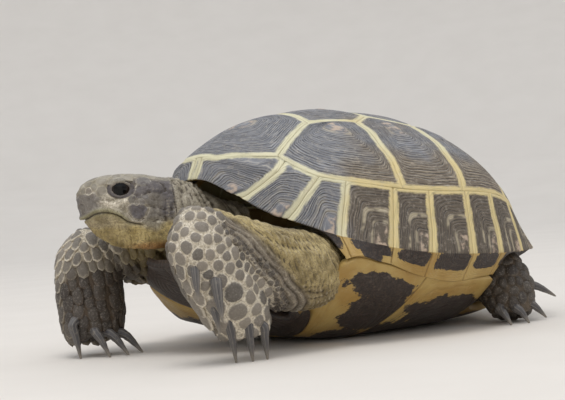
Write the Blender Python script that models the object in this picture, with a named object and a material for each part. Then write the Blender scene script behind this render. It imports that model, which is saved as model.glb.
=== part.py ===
"""A Horsfield's tortoise in mid-step, life size and still.

The shell is modelled level, then pitched nose up.  The animal faces -X and its left side is -Y.
Each scute, length of flesh, eye and claw is one closed solid, and the origin ends up under the
middle of the whole on the floor.
"""

from math import asin, atan2, cos, hypot, pi, radians, sin

import bmesh
import bpy
from mathutils import Matrix, Vector

MM = 0.001
GAP = 0.35 * MM

# Carapace, measured level: plan ellipse, apex, and heights above the plastron's plane.
HALF_LENGTH = 92.5 * MM
HALF_WIDTH = 77.6 * MM
APEX_X = 5 * MM
APEX_HEIGHT = 93.7 * MM
RIM_ANGLES = (0, 35, 70, 110, 145, 180)
RIM_HEIGHTS = (51.1, 34, 25.7, 31, 37.4, 30.3)
SEAM_HEIGHTS = (61, 54.3, 51.8, 56, 46.6, 44.8)
SEAM_RADIUS = (0.975, 0.90, 0.866)
SHOULDER_SLOPE = (47.5, 69, 53)
CROWN_REACH = (1.02, 0.82, 1.02)
SHOULDER_REACH = (1.08, 0.84, 0.81)
PITCH = radians(10)
PITCH_AXIS_X = 40 * MM
DISC_RADIUS = 75 * MM
FLANGE = 0.13
SCUTE_THICKNESS = 3 * MM
SCUTE_SWELL = 0.8 * MM
SOLID_WEDGE = 12 * MM
HOLLOW_WEDGE = 20 * MM
SHELL_CENTRE = Vector((APEX_X, 0, 30 * MM))

# Vertebral seams along the midline and the widest point of each vertebral, in mm: (x, half width).
VERTEBRAL_SEAMS = ((-48, 21), (-12, 19), (20, 18), (49, 15))
VERTEBRAL_CORNERS = ((-24, 27), (8, 28), (35, 25))
COSTAL_FOOT_ANGLES = (28, 68, 90, 115, 150)
MARGINAL_ANGLES = (1.5, 18, 35, 50.5, 65, 77, 91, 103, 116.5, 131, 147, 165)
MARGINAL_SETS = {"front": (0, 3), "bridge": (3, 7), "rear": (7, 11)}

# Plastron, in mm along the length: height of its underside, half width, and height of its edge.
BELLY_X = (-101, -91, -76, -60, -40, -20, 38, 60, 80)
BELLY_HEIGHT = (37, 27, 14.5, 6.5, 1.2, 0, 0, 2, 8)
EDGE_X = (-101, -94, -80, -67, -62, -54.5, -38, -20, 0, 24, 33, 39, 58, 72, 80)
EDGE_HALF_WIDTH = (11, 21, 31, 37, 42, 63, 67.5, 69, 69.5, 68, 62, 42, 38, 30, 18)
EDGE_HEIGHT = (38.5, 31.5, 20, 12, 14, 34, 33, 27, 22.5, 21.5, 19, 7, 6, 8, 11)
AXILLA_X = -54
BELLY_FLAT, BELLY_CURVE = 0.27, 2.2
PLASTRON_THICKNESS = 3.6 * MM
TRUNK_FLOOR = 0.6
PLASTRON_SEAMS = {
    "gular": (-101, -101, -76, -91),
    "humeral": (-76, -91, -43, -62),
    "pectoral": (-43, -62, -28, -14),
    "abdominal": (-28, -14, 34, 36),
    "femoral": (34, 36, 59, 64),
    "anal": (59, 64, 77, 80),
}

# Head, in mm along its axis from the nape: half width, crown, throat and mouth line.
NAPE = Vector((-90, 9, 0)) * MM
HEAD_TURN = radians(33)
HEAD_ALONG = (0, 4, 9, 14, 18, 22, 26, 30, 33.5, 36, 37.6)
HEAD_HALF_WIDTH = (12.5, 14, 14.6, 13.2, 12.2, 11.4, 10, 8.4, 7, 5.4, 3)
CROWN_HEIGHT = (75.6, 76.4, 77.4, 78, 78.2, 78.2, 77.9, 77, 75.6, 73.8, 71)
THROAT_HEIGHT = (44.6, 44.4, 44.4, 44.8, 45.4, 46.4, 48.2, 51, 54.8, 59, 64)
MOUTH_ALONG = (14, 17, 20, 25, 30, 34, 38)
MOUTH_HEIGHT = (56.5, 57.6, 60, 61.8, 61.6, 59.6, 58.6)
MOUTH_CORNER = 17
HEAD_ARC, HEAD_CHORD = 13, 5
EYE_ALONG, EYE_OUT, EYE_HEIGHT, EYE_RADIUS = 18.5, 7.4, 71.4, 4.7

# Flesh: x, y, z, half width and half height of each station from the root outwards, in mm.
NECK = (
    (-89.7, 8.8, 60.1, 12.4, 15.4), (-87.2, 7.18, 60.1, 12.2, 15), (-84.7, 5.56, 60.1, 12, 14.4),
    (-74, 3, 55, 11.4, 12.2), (-57, 2, 51, 11, 11.6),
)
TAIL = (
    (58, 0, 19, 7, 6), (72, 0, 18, 6.5, 5.6), (84, 2, 14, 5.5, 4.8), (94, 6, 9, 4, 3.6),
    (101, 10, 5, 1.6, 1.5),
)
LEGS = {
    "front_leg_left": (
        ((-44, -40, 30, 13, 13.5), (-61, -46.5, 32, 16, 17), (-80, -49, 36, 15, 17.5),
         (-98, -50, 44, 14, 15.5), (-114, -50, 51, 12.5, 12.5), (-124, -50, 53, 8, 6.5)),
        ((-115, -51, 60, 8, 7), (-118, -51, 50, 12, 13.5), (-113, -51, 38, 12.5, 14.5),
         (-105, -50, 26, 12, 14), (-99, -49, 17, 11.5, 12.5), (-98, -48.5, 10, 10, 11)),
    ),
    "front_leg_right": (
        ((-46, 38, 38, 14, 14.5), (-64, 41, 41, 14, 14), (-84, 44, 44, 13.5, 13.5),
         (-98, 46, 45, 13, 12.5), (-108, 46.5, 44, 10, 9)),
        ((-103, 46, 53, 9, 8), (-106, 46, 44, 12, 13.5), (-107.5, 46, 33, 12.5, 15),
         (-107.5, 45.5, 22, 12.5, 15), (-108, 44.5, 14, 12, 14.5), (-108, 43, 8.5, 10.5, 12.5)),
    ),
    "rear_leg_left": (
        ((41, -29, 29, 14, 14), (47, -41, 26, 14.4, 14.4), (50, -50, 20, 13.8, 13.4),
         (50, -56, 13, 12.5, 12.5), (48, -59, 7, 10.5, 10.5), (47, -60, 3, 8.5, 8.5)),
    ),
    "rear_leg_right": (
        ((42, 29, 29, 14, 14), (48.5, 40, 25, 14.2, 14.2), (50.5, 49, 18, 13.4, 13),
         (48, 53, 10, 12.5, 12), (46, 54, 4, 11.5, 11), (46, 54, -2, 10.5, 10)),
    ),
}
CLAWS = {
    "front_leg_left": (
        ((-116.5, -55, 25), (-115, -56, 12.5)), ((-109, -55, 16.5), (-106.5, -54, 0)),
        ((-102, -57, 13.5), (-101, -57.5, 0)), ((-95.5, -57.5, 12.5), (-94, -58, 0)),
    ),
    "front_leg_right": (
        ((-121.5, 38, 14), (-120, 37, 0)), ((-113.5, 34, 10.5), (-111.5, 27, 0)),
        ((-107, 33, 9), (-103, 25.5, 0)), ((-100, 35, 8.5), (-94, 28, 0)),
    ),
    "rear_leg_left": (
        ((56, -62, 16), (71, -66, 9.5)), ((51, -66, 8), (59, -70, 1)),
        ((43, -67, 6), (44, -73, 0)), ((37, -63, 6), (35, -70.5, 0)),
    ),
    "rear_leg_right": (
        ((38, 47, 5), (27, 45, 0)), ((37, 53, 5), (25, 54, 0)),
        ((39, 59, 5), (28, 63, 0)), ((44, 63, 5), (37, 70, 0)),
    ),
}
CLAW_RADIUS = 2.1

SLATE = (0.10, 0.10, 0.085)
HORN_YELLOW = (0.42, 0.33, 0.12)
OLIVE_SKIN = (0.23, 0.20, 0.13)
JAW_OCHRE = (0.40, 0.31, 0.13)
CLAW_GREY = (0.09, 0.09, 0.10)
EYE_BLACK = (0.012, 0.010, 0.008)


def curve_value(knots, values, at):
    """A smooth curve through the values, level at both ends."""
    at = min(max(at, knots[0]), knots[-1])
    index = max(i for i in range(len(knots) - 1) if knots[i] <= at)
    span = knots[index + 1] - knots[index]

    def slope(i):
        if i in (0, len(knots) - 1):
            return 0
        return (values[i + 1] - values[i - 1]) / (knots[i + 1] - knots[i - 1])

    t = (at - knots[index]) / span
    start, end = values[index], values[index + 1]
    return (
        (2 * t**3 - 3 * t**2 + 1) * start
        + (t**3 - 2 * t**2 + t) * span * slope(index)
        + (3 * t**2 - 2 * t**3) * end
        + (t**3 - t**2) * span * slope(index + 1)
    )


def by_angle(values, angle):
    """Blends a front, side and rear value round the shell."""
    front, side, rear = values
    share = cos(angle) ** 2
    return side + ((front if cos(angle) > 0 else rear) - side) * share


def rim_height(angle):
    return curve_value(RIM_ANGLES, RIM_HEIGHTS, angle * 180 / pi) * MM


def seam_height(angle):
    return curve_value(RIM_ANGLES, SEAM_HEIGHTS, angle * 180 / pi) * MM


def pitched(point):
    """The level shell's point, with the shell tipped nose up."""
    x, z = point.x - PITCH_AXIS_X, point.z
    along = x * cos(PITCH) + z * sin(PITCH)
    return Vector((PITCH_AXIS_X + along, point.y, z * cos(PITCH) - x * sin(PITCH)))


def radial_point(angle, share, height, side):
    """A point at this share of the way from the apex's axis to the rim's plan outline."""
    x = -HALF_LENGTH * cos(angle)
    y = HALF_WIDTH * sin(angle)
    return Vector((APEX_X + (x - APEX_X) * share, side * y * share, height))


def dome_point(angle, t, side):
    """The level carapace from its apex, t = 0, to the seam over the marginals, t = 1."""
    slope = radians(by_angle(SHOULDER_SLOPE, angle))
    crown = by_angle(CROWN_REACH, angle)
    shoulder = by_angle(SHOULDER_REACH, angle)
    rim = hypot(-HALF_LENGTH * cos(angle) - APEX_X, HALF_WIDTH * sin(angle))
    ends = 3 * t**2 - 2 * t**3
    out, into = t**3 - 2 * t**2 + t, t**3 - t**2
    share = ends * by_angle(SEAM_RADIUS, angle) + out * crown + into * shoulder * cos(slope)
    height = (1 - ends) * APEX_HEIGHT + ends * seam_height(angle) - into * shoulder * sin(slope) * rim
    return radial_point(angle, share, height, side)


def plan_to_disc(x, y):
    """Where a level plan point in mm lies on the disc whose radius is the dome's t."""
    x, y = x * MM - APEX_X, abs(y) * MM
    low, high = 0.0, pi
    for _ in range(40):
        angle = (low + high) / 2
        ray = radial_point(angle, 1, 0, 1)
        if (ray.x - APEX_X) * y - ray.y * x < 0:
            low = angle
        else:
            high = angle
    low, high = 0.0, 1.0
    for _ in range(40):
        t = (low + high) / 2
        reach = dome_point(angle, t, 1)
        if hypot(reach.x - APEX_X, reach.y) < hypot(x, y):
            low = t
        else:
            high = t
    return Vector((-t * cos(angle), t * sin(angle)))


def disc_surface(disc, side):
    """The pitched carapace under a point of the disc."""
    return pitched(dome_point(atan2(abs(disc.y), -disc.x), disc.length, side if disc.y >= 0 else -side))


def surface_normal(surface, *at):
    """The unit normal of a two-parameter surface, found from small steps."""
    u, v = at
    step = 1e-3
    along = surface(u + step, v) - surface(u - step, v)
    across = surface(u, v + step) - surface(u, v - step)
    return along.cross(across).normalized()


def plastron_point(x, q):
    """The underside of the plastron x mm along, at the share q of its half width."""
    base = max(curve_value(BELLY_X, BELLY_HEIGHT, x), 0)
    edge = curve_value(EDGE_X, EDGE_HEIGHT, x)
    width = curve_value(EDGE_X, EDGE_HALF_WIDTH, x)
    rise = max(abs(q) - BELLY_FLAT, 0) / (1 - BELLY_FLAT)
    return Vector((x, q * width, base + (edge - base) * rise**BELLY_CURVE)) * MM


def marginal_point(angle, s, side):
    """The marginals: seam at 0, rim at 1, inner end of the underside at 2."""
    seam_share = by_angle(SEAM_RADIUS, angle)
    rim = radial_point(angle, 1, rim_height(angle), side)
    if s <= 1:
        seam = radial_point(angle, seam_share, seam_height(angle), side)
        return pitched(seam.lerp(rim, s))
    flange = pitched(radial_point(angle, 1 - FLANGE, rim.z + 2 * MM, side))
    rim = pitched(rim)
    edge = plastron_point(max(rim.x / MM, AXILLA_X), side)
    edge.z += 5.5 * GAP
    bridge = curve_value((0, 42, 47, 106, 112, 180), (0, 0, 1, 1, 0, 0), angle * 180 / pi)
    return rim.lerp(flange.lerp(edge, bridge), s - 1)


def material(name, colour, roughness):
    made = bpy.data.materials.new(name)
    made.use_nodes = True
    shader = made.node_tree.nodes["Principled BSDF"]
    shader.inputs["Base Color"].default_value = (*colour, 1)
    shader.inputs["Roughness"].default_value = roughness
    shader.inputs["Metallic"].default_value = 0
    made.diffuse_color = (*colour, 1)
    return made


def collection(name):
    made = bpy.data.collections.new(name)
    bpy.context.scene.collection.children.link(made)
    return made


def add_object(name, mesh, where, look):
    made = bpy.data.objects.new(name, mesh)
    mesh.materials.append(look)
    where.objects.link(made)
    return made


def finish_mesh(name, shape):
    """The closed mesh, with its faces pointing out."""
    bmesh.ops.recalc_face_normals(shape, faces=shape.faces)
    if shape.calc_volume(signed=True) < 0:
        bmesh.ops.reverse_faces(shape, faces=shape.faces)
    bmesh.ops.triangulate(shape, faces=shape.faces)
    mesh = bpy.data.meshes.new(name)
    shape.to_mesh(mesh)
    shape.free()
    mesh.set_sharp_from_angle(angle=radians(40))
    return mesh


def loft(name, rings):
    """A closed solid through rings of equal count; a ring of one point is a tip."""
    shape = bmesh.new()
    rows = [[shape.verts.new(point) for point in ring] for ring in rings]
    for low, high in zip(rows, rows[1:]):
        count = max(len(low), len(high))
        for i in range(count):
            j = (i + 1) % count
            corners = (low[i % len(low)], low[j % len(low)], high[j % len(high)], high[i % len(high)])
            shape.faces.new(list(dict.fromkeys(corners)))
    caps = [shape.faces.new(row) for row in (rows[0], rows[-1]) if len(row) > 2]
    bmesh.ops.poke(shape, faces=caps)
    return finish_mesh(name, shape)


def slab(name, outer, inner):
    """A closed solid between two grids of points of the same size."""
    shape = bmesh.new()
    tops = [[shape.verts.new(point) for point in row] for row in outer]
    bottoms = [[shape.verts.new(point) for point in row] for row in inner]
    rows, columns = len(tops), len(tops[0])
    for grid in (tops, bottoms):
        for i in range(rows - 1):
            for j in range(columns - 1):
                shape.faces.new((grid[i][j], grid[i][j + 1], grid[i + 1][j + 1], grid[i + 1][j]))
    border = [(0, j) for j in range(columns)] + [(i, columns - 1) for i in range(1, rows)]
    border += [(rows - 1, j) for j in range(columns - 2, -1, -1)] + [(i, 0) for i in range(rows - 2, 0, -1)]
    for (a, b), (c, d) in zip(border, border[1:] + border[:1]):
        shape.faces.new((tops[a][b], tops[c][d], bottoms[c][d], bottoms[a][b]))
    return finish_mesh(name, shape)


def edge_points(corners, pieces):
    """The disc outline through these corners; two corners on the seam circle are joined by its arc."""
    outline = []
    for start, end in zip(corners, corners[1:] + corners[:1]):
        on_seam = min(start.length, end.length) > 0.98
        count = pieces if (end - start).length > 0.25 else max(pieces - 1, 1)
        for i in range(count):
            point = start.lerp(end, i / count)
            if on_seam:
                point = point.normalized() * (start.length + (end.length - start.length) * i / count)
            outline.append(point)
    return outline


def plate(name, corners, areola, side):
    """A scute of the dome: rings drawn in from its outline to its areola, swollen in the middle."""
    outline = edge_points(corners, 3)
    middle = sum(outline, Vector((0, 0))) / len(outline)
    reach = [(point - middle).length * DISC_RADIUS for point in outline]
    outline = [
        middle + (point - middle) * (1 - 1.6 * GAP / length) for point, length in zip(outline, reach)
    ]

    def surface(u, v):
        return disc_surface(Vector((u, v)), side)

    rings = []
    for share, swell, depth in ((0, 0, 1), (1, 0, 1), (1, 0.15, 0), (0.72, 0.8, 0), (0.3, 1, 0), (0, 1, 0)):
        ring = []
        for point in outline[:1] if share == 0 else outline:
            at = areola.lerp(point, share)
            normal = surface_normal(surface, at.x, at.y)
            normal *= 1 if normal.dot(surface(at.x, at.y) - SHELL_CENTRE) > 0 else -1
            ring.append(surface(at.x, at.y) + normal * (swell * SCUTE_SWELL - depth * SCUTE_THICKNESS))
        rings.append(ring)
    return loft(name, rings)


def seam_disc(angle_degrees):
    angle = radians(angle_degrees)
    return Vector((-0.994 * cos(angle), 0.994 * sin(angle)))


def mirrored(point):
    return Vector((point.x, -point.y))


def dome_scutes():
    """Corners and areola on the disc for the nuchal, five vertebrals and four costals of one side."""
    seams = [plan_to_disc(x, y) for x, y in VERTEBRAL_SEAMS]
    corners = [plan_to_disc(x, y) for x, y in VERTEBRAL_CORNERS]
    feet = [seam_disc(angle) for angle in COSTAL_FOOT_ANGLES]
    right_ways = {
        1: [feet[0], seams[0]],
        2: [seams[0], corners[0], seams[1]],
        3: [seams[1], corners[1], seams[2]],
        4: [seams[2], corners[2], seams[3]],
        5: [seams[3], feet[4]],
    }
    scutes = {}
    for number, way in right_ways.items():
        loop = way + [mirrored(point) for point in reversed(way)]
        if number == 1:
            front = seam_disc(MARGINAL_ANGLES[0])
            loop = [front, *way, *[mirrored(point) for point in reversed(way)], mirrored(front)]
        if number == 5:
            loop = [*way, seam_disc(180), *[mirrored(point) for point in reversed(way)]]
        middle = sum(loop, Vector((0, 0))) / len(loop)
        scutes[f"vertebral_{number}"] = (loop, Vector((middle.x + 0.05, 0)), -1)
    loops = {
        1: [feet[0], seams[0], corners[0], feet[1]],
        2: [feet[1], corners[0], seams[1], corners[1], feet[2]],
        3: [feet[2], corners[1], seams[2], corners[2], feet[3]],
        4: [feet[3], corners[2], seams[3], feet[4]],
    }
    for number, loop in loops.items():
        middle = sum(loop, Vector((0, 0))) / len(loop)
        top = sum(loop[1:-1], Vector((0, 0))) / (len(loop) - 2)
        for side, word in ((-1, "left"), (1, "right")):
            scutes[f"costal_{word}_{number}"] = (loop, middle.lerp(top, 0.45), side)
    return scutes


def marginal_ring(angle, side):
    """The closed section of the marginals at this angle round the rim, solid where it is a thin wedge."""
    outer = [marginal_point(angle, s, side) for s in (0.035, 0.5, 1, 1.5, 2)]
    shoulder = pitched(dome_point(angle, 1, side)) - pitched(dome_point(angle, 0.97, side))
    inward = Vector((cos(angle), -side * sin(angle), 0))
    depth = (Vector((0, 0, shoulder.dot(inward))) - inward * shoulder.z).normalized()
    under = marginal_point(angle, 2, side) - marginal_point(angle, 1, side)
    lift = (Vector((0, 0, under.dot(inward))) - inward * under.z).normalized()
    inner = [marginal_point(angle, s, side) + lift * SCUTE_THICKNESS * 0.65 for s in (1.86, 1.45)]
    inner.append(marginal_point(angle, 0.7, side) + inward * SCUTE_THICKNESS * 1.3)
    inner.append(marginal_point(angle, 0.1, side) + depth * SCUTE_THICKNESS)
    wall = (outer[-1] - outer[0]).length
    hollow = min(max((wall - SOLID_WEDGE) / (HOLLOW_WEDGE - SOLID_WEDGE), 0), 1)
    for number, point in enumerate(inner):
        inner[number] = outer[-1].lerp(outer[0], (number + 1) / 5).lerp(point, hollow)
    return outer + inner


def add_marginals(where, look):
    gap_angle = 2.8 * GAP / HALF_WIDTH
    for side, word in ((-1, "left"), (1, "right")):
        for place, (first, last) in MARGINAL_SETS.items():
            start = radians(MARGINAL_ANGLES[first]) + gap_angle / 2
            end = radians(MARGINAL_ANGLES[last]) - gap_angle / 2
            steps = 2 * (last - first) + 1
            rings = [marginal_ring(start + (end - start) * i / steps, side) for i in range(steps + 1)]
            rings = rings[::-side]
            name = f"marginals_{word}_{place}"
            add_object(name, loft(name, rings), where, look)
    start = radians(MARGINAL_ANGLES[-1]) + gap_angle / 2
    angles = [start + (pi - start) * i / 3 for i in range(3)] + [pi]
    rings = [marginal_ring(angle, -1) for angle in angles]
    rings += [marginal_ring(angle, 1) for angle in reversed(angles[:-1])]
    add_object("supracaudal", loft("supracaudal", rings), where, look)
    start = radians(MARGINAL_ANGLES[0]) - gap_angle / 2
    rings = [marginal_ring(start, -1), marginal_ring(0, 1), marginal_ring(start, 1)]
    add_object("nuchal", loft("nuchal", rings), where, look)


def add_plastron(where, look):
    """Twelve plates, each a grid between its two cross seams and from the midline to its edge."""
    for name, (front_mid, front_edge, rear_mid, rear_edge) in PLASTRON_SEAMS.items():
        rows, columns = (5, 5) if name in ("humeral", "pectoral", "abdominal") else (3, 4)
        for side, word in ((-1, "left"), (1, "right")):
            outer, inner = [], []
            for i in range(rows + 1):
                outer.append([])
                inner.append([])
                for j in range(columns + 1):
                    q = 1 - (1 - j / columns) ** 1.44
                    front = front_mid + (front_edge - front_mid) * q
                    rear = rear_mid + (rear_edge - rear_mid) * q
                    x = front + 0.3 + (rear - front - 0.6) * i / rows
                    point = plastron_point(x, side * q)
                    slope = plastron_point(x, q + 0.01) - plastron_point(x, q - 0.01)
                    top = point + Vector((0, -side * slope.z, slope.y)).normalized() * PLASTRON_THICKNESS
                    for spot in (point, top):
                        spot.y = side * max(side * spot.y, GAP / 2)
                    outer[-1].append(point)
                    inner[-1].append(top)
            title = f"{name}_{word}"
            add_object(title, slab(title, outer, inner), where, look)


def trunk_ring(level, count):
    """One ring of the trunk: 0 is near the apex, 1 the hollow's foot."""
    ring = []
    for i in range(count):
        turn = 2 * pi * i / count
        side = -1 if turn < pi else 1
        angle = turn if turn < pi else 2 * pi - turn
        if level <= 0.5:
            point = dome_point(angle, 0.08 + level * 1.7, side)
            point = pitched(point)
            point += (pitched(SHELL_CENTRE) - point).normalized() * SCUTE_THICKNESS * 2.4
        else:
            share = by_angle((0.62, 0.82, 0.66), angle) * (1.12 - 0.35 * (level - 0.5) ** 2 * 4)
            spot = pitched(radial_point(angle, share, 0, side))
            x = spot.x / MM
            floor = curve_value(BELLY_X, BELLY_HEIGHT, x) * MM + PLASTRON_THICKNESS + 1.2 * MM
            width = curve_value(EDGE_X, EDGE_HALF_WIDTH, x) * MM
            reach = max(min(abs(spot.y) / width, 1) - BELLY_FLAT, 0) / (1 - BELLY_FLAT)
            rise = (curve_value(EDGE_X, EDGE_HEIGHT, x) * MM - floor) * reach**BELLY_CURVE
            low = Vector((spot.x, spot.y, floor + max(rise, 0) + 2 * MM))
            high = pitched(radial_point(angle, share, 44 * MM, side))
            point = high.lerp(low, (level - 0.5) * 2)
        ring.append(point)
    return ring


def add_trunk(where, look):
    count = 20
    levels = (0, 0.18, 0.34, 0.48, 0.6, 0.8, 1)
    rings = [trunk_ring(level, count) for level in levels]
    top = sum(rings[0], Vector()) / count + Vector((0, 0, 1 * MM))
    low = []
    for point in rings[-1]:
        x = point.x * TRUNK_FLOOR
        low.append(Vector((x, point.y * TRUNK_FLOOR, (curve_value(BELLY_X, BELLY_HEIGHT, x / MM) + 6) * MM)))
    add_object("trunk", loft("trunk", [[top], *rings, low]), where, look)


def head_frame():
    """Unit vectors along the head, nose out, and to its left."""
    along = Vector((-cos(HEAD_TURN), sin(HEAD_TURN), 0))
    return along, Vector((-sin(HEAD_TURN), -cos(HEAD_TURN), 0))


def head_ring(along, floor=None, ceiling=None):
    """A cross section of the head, kept above the floor or under the ceiling by a flat chord."""
    forward, left = head_frame()
    width = curve_value(HEAD_ALONG, HEAD_HALF_WIDTH, along)
    top = curve_value(HEAD_ALONG, CROWN_HEIGHT, along)
    bottom = curve_value(HEAD_ALONG, THROAT_HEIGHT, along)
    middle, half = (top + bottom) / 2, (top - bottom) / 2

    def spot(turn):
        out = width * abs(cos(turn)) ** 0.8 * (1 if cos(turn) > 0 else -1)
        height = middle + half * abs(sin(turn)) ** 0.85 * (1 if sin(turn) > 0 else -1)
        return NAPE + (forward * along + left * out + Vector((0, 0, height))) * MM

    cut = floor if ceiling is None else ceiling
    share = -0.4 if cut is None else (cut - middle) / half
    lean = asin(min(abs(share) ** (1 / 0.85), 1)) * (1 if share > 0 else -1)
    start, end = (lean, pi - lean) if ceiling is None else (lean, -pi - lean)
    arc = [start + (end - start) * i / (HEAD_ARC - 1) for i in range(HEAD_ARC)]
    ring = [spot(turn) for turn in arc]
    if cut is None:
        rest = 2 * pi + start - end
        ring += [spot(end + rest * i / (HEAD_CHORD + 1)) for i in range(1, HEAD_CHORD + 1)]
    else:
        ring += [ring[-1].lerp(ring[0], i / (HEAD_CHORD + 1)) for i in range(1, HEAD_CHORD + 1)]
    return ring


def smooth_station(stations, t):
    """The station at the share t of the way along, on a smooth curve through them all."""
    knots = list(range(len(stations)))
    at = t * (len(stations) - 1)
    if at < 1 or at > len(stations) - 2:
        i = 0 if at < 1 else len(stations) - 2
        local = at - i
        inner = [curve_value(knots, [s[k] for s in stations], at) for k in range(5)]
        straight = [a + (b - a) * local for a, b in zip(stations[i], stations[i + 1])]
        return [(a + b) / 2 for a, b in zip(inner, straight)]
    return [curve_value(knots, [s[k] for s in stations], at) for k in range(5)]


def flesh_rings(stations, count, sides, across):
    """Oval rings square to a smooth centre line; `across` is the way their width points."""
    samples = [smooth_station(stations, i / (count - 1)) for i in range(count)]
    centres = [Vector(s[:3]) * MM for s in samples]
    rings = []
    for i, (centre, sample) in enumerate(zip(centres, samples)):
        forward = (centres[min(i + 1, count - 1)] - centres[max(i - 1, 0)]).normalized()
        wide = (across - forward * across.dot(forward)).normalized()
        tall = forward.cross(wide)
        rings.append([
            centre + (wide * sample[3] * cos(turn) + tall * sample[4] * sin(turn)) * MM
            for turn in (2 * pi * k / sides for k in range(sides))
        ])
    return rings


def on_floor(rings):
    """Presses what reaches below the floor flat on it."""
    return [[Vector((p.x, p.y, max(p.z, 0))) for p in ring] for ring in rings]


def inflated(obj, where):
    """A copy of a solid grown by the gap, to cut its neighbours with."""
    shape = bmesh.new()
    shape.from_mesh(obj.data)
    bmesh.ops.transform(shape, matrix=obj.matrix_world, verts=shape.verts)
    shape.normal_update()
    for vertex in shape.verts:
        vertex.co += vertex.normal * GAP * 1.4
    mesh = bpy.data.meshes.new(f"{obj.name}_cutter")
    shape.to_mesh(mesh)
    shape.free()
    copy = bpy.data.objects.new(mesh.name, mesh)
    copy.hide_render = True
    copy.display_type = "WIRE"
    where.objects.link(copy)
    return copy


def box_of(obj):
    corners = [obj.matrix_world @ Vector(corner) for corner in obj.bound_box]
    return [(min(c[k] for c in corners), max(c[k] for c in corners)) for k in range(3)]


def cut_by(obj, cutters):
    """Takes from the solid each cutter whose box meets its own; EXACT empties a leg here."""
    box = box_of(obj)
    for cutter in cutters.objects:
        if any(a[0] > b[1] or b[0] > a[1] for a, b in zip(box, box_of(cutter))):
            continue
        modifier = obj.modifiers.new(f"clear of {cutter.name}", "BOOLEAN")
        modifier.operation = "DIFFERENCE"
        modifier.object = cutter
        modifier.solver = "MANIFOLD"


def add_head(where, skin, jaw_skin, eye_look):
    """The head with its sockets cut, the lower jaw under the mouth line, and two eyes."""
    rings = [head_ring(along) for along in (0, 4, 8, 12, MOUTH_CORNER)]
    for along in (MOUTH_CORNER + 0.3, 20, 23, 26, 29, 32, 34.5, 36.5, 37.6):
        mouth = curve_value(MOUTH_ALONG, MOUTH_HEIGHT, along)
        rings.append(head_ring(along, floor=mouth))
    head = add_object("head", loft("head", rings), where, skin)
    rings = []
    for along in (MOUTH_CORNER + 0.7, 20, 24, 28, 31.5, 34):
        mouth = curve_value(MOUTH_ALONG, MOUTH_HEIGHT, along) - 0.35
        rings.append(head_ring(along, ceiling=mouth))
    add_object("lower_jaw", loft("lower_jaw", rings), where, jaw_skin)
    sockets = collection("eye_cutters")
    forward, left = head_frame()
    for side, word in ((1, "left"), (-1, "right")):
        shape = bmesh.new()
        bmesh.ops.create_uvsphere(shape, u_segments=12, v_segments=8, radius=EYE_RADIUS * MM)
        place = NAPE + (forward * EYE_ALONG + left * side * EYE_OUT + Vector((0, 0, EYE_HEIGHT))) * MM
        name = f"eye_{word}"
        eye = add_object(name, finish_mesh(name, shape), where, eye_look)
        outward = (left * side).to_track_quat("Z", "Y").to_matrix().to_4x4()
        eye.matrix_world = Matrix.Translation(place) @ outward
        inflated(eye, sockets)
    cut_by(head, sockets)


def claw_rings(base, tip):
    """A tapering claw that curves down, from inside the toe to its point."""
    base, tip = Vector(base), Vector(tip)
    root = base + (base - tip).normalized() * 4
    bend = (base + tip) / 2 + Vector((0, 0, 1.1))
    stations = (
        (*root, CLAW_RADIUS, CLAW_RADIUS), (*base, CLAW_RADIUS, CLAW_RADIUS),
        (*bend, CLAW_RADIUS * 0.75, CLAW_RADIUS * 0.75), (*tip, 0.4, 0.4),
    )
    return on_floor(flesh_rings(stations, 6, 7, Vector((0.3, 1, 0.1))))


def join_forearm(leg, mesh):
    """Unites the upper arm with the forearm, which meets it in a crease at the elbow."""
    forearm = bpy.data.objects.new("forearm", mesh)
    bpy.context.scene.collection.objects.link(forearm)
    union = leg.modifiers.new("elbow", "BOOLEAN")
    union.operation, union.object, union.solver = "UNION", forearm, "EXACT"
    whole = bpy.data.meshes.new_from_object(leg.evaluated_get(bpy.context.evaluated_depsgraph_get()))
    leg.modifiers.clear()
    leg.data = whole
    bpy.data.objects.remove(forearm)


def add_limbs(where, shell_nodes, skin, claw_look):
    """Neck, tail and legs, cut to clear the shell and trunk, and the claws cut to clear the toes."""
    shell = collection("shell_cutters")
    for obj in shell_nodes:
        inflated(obj, shell)
    neck = add_object("neck", loft("neck", flesh_rings(NECK, 9, 16, Vector((0, 1, 0)))), where, skin)
    tail = add_object("tail", loft("tail", flesh_rings(TAIL, 8, 10, Vector((0, 1, 0)))), where, skin)
    cut_by(neck, shell)
    cut_by(tail, shell)
    for name, lengths in LEGS.items():
        rings = [flesh_rings(length, 10, 14, Vector((0, 1, 0.2))) for length in lengths]
        meshes = [loft(name, on_floor(ring)) for ring in rings]
        leg = add_object(name, meshes[0], where, skin)
        if len(meshes) > 1:
            join_forearm(leg, meshes[1])
        toes = collection(f"{name}_cutters")
        inflated(leg, toes)
        cut_by(leg, shell)
        for number, (base, tip) in enumerate(CLAWS[name], 1):
            title = f"claw_{name.replace('_leg', '')}_{number}"
            claw = add_object(title, loft(title, claw_rings(base, tip)), where, claw_look)
            cut_by(claw, toes)


def stand_on_origin(where):
    """Moves every solid so that the middle of the whole box, at its foot, is the origin."""
    boxes = [box_of(obj) for obj in where.objects]
    low = [min(box[k][0] for box in boxes) for k in range(3)]
    high = [max(box[k][1] for box in boxes) for k in range(3)]
    move = Matrix.Translation((-(low[0] + high[0]) / 2, -(low[1] + high[1]) / 2, -low[2]))
    for obj in bpy.context.scene.objects:
        obj.matrix_world = move @ obj.matrix_world


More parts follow.
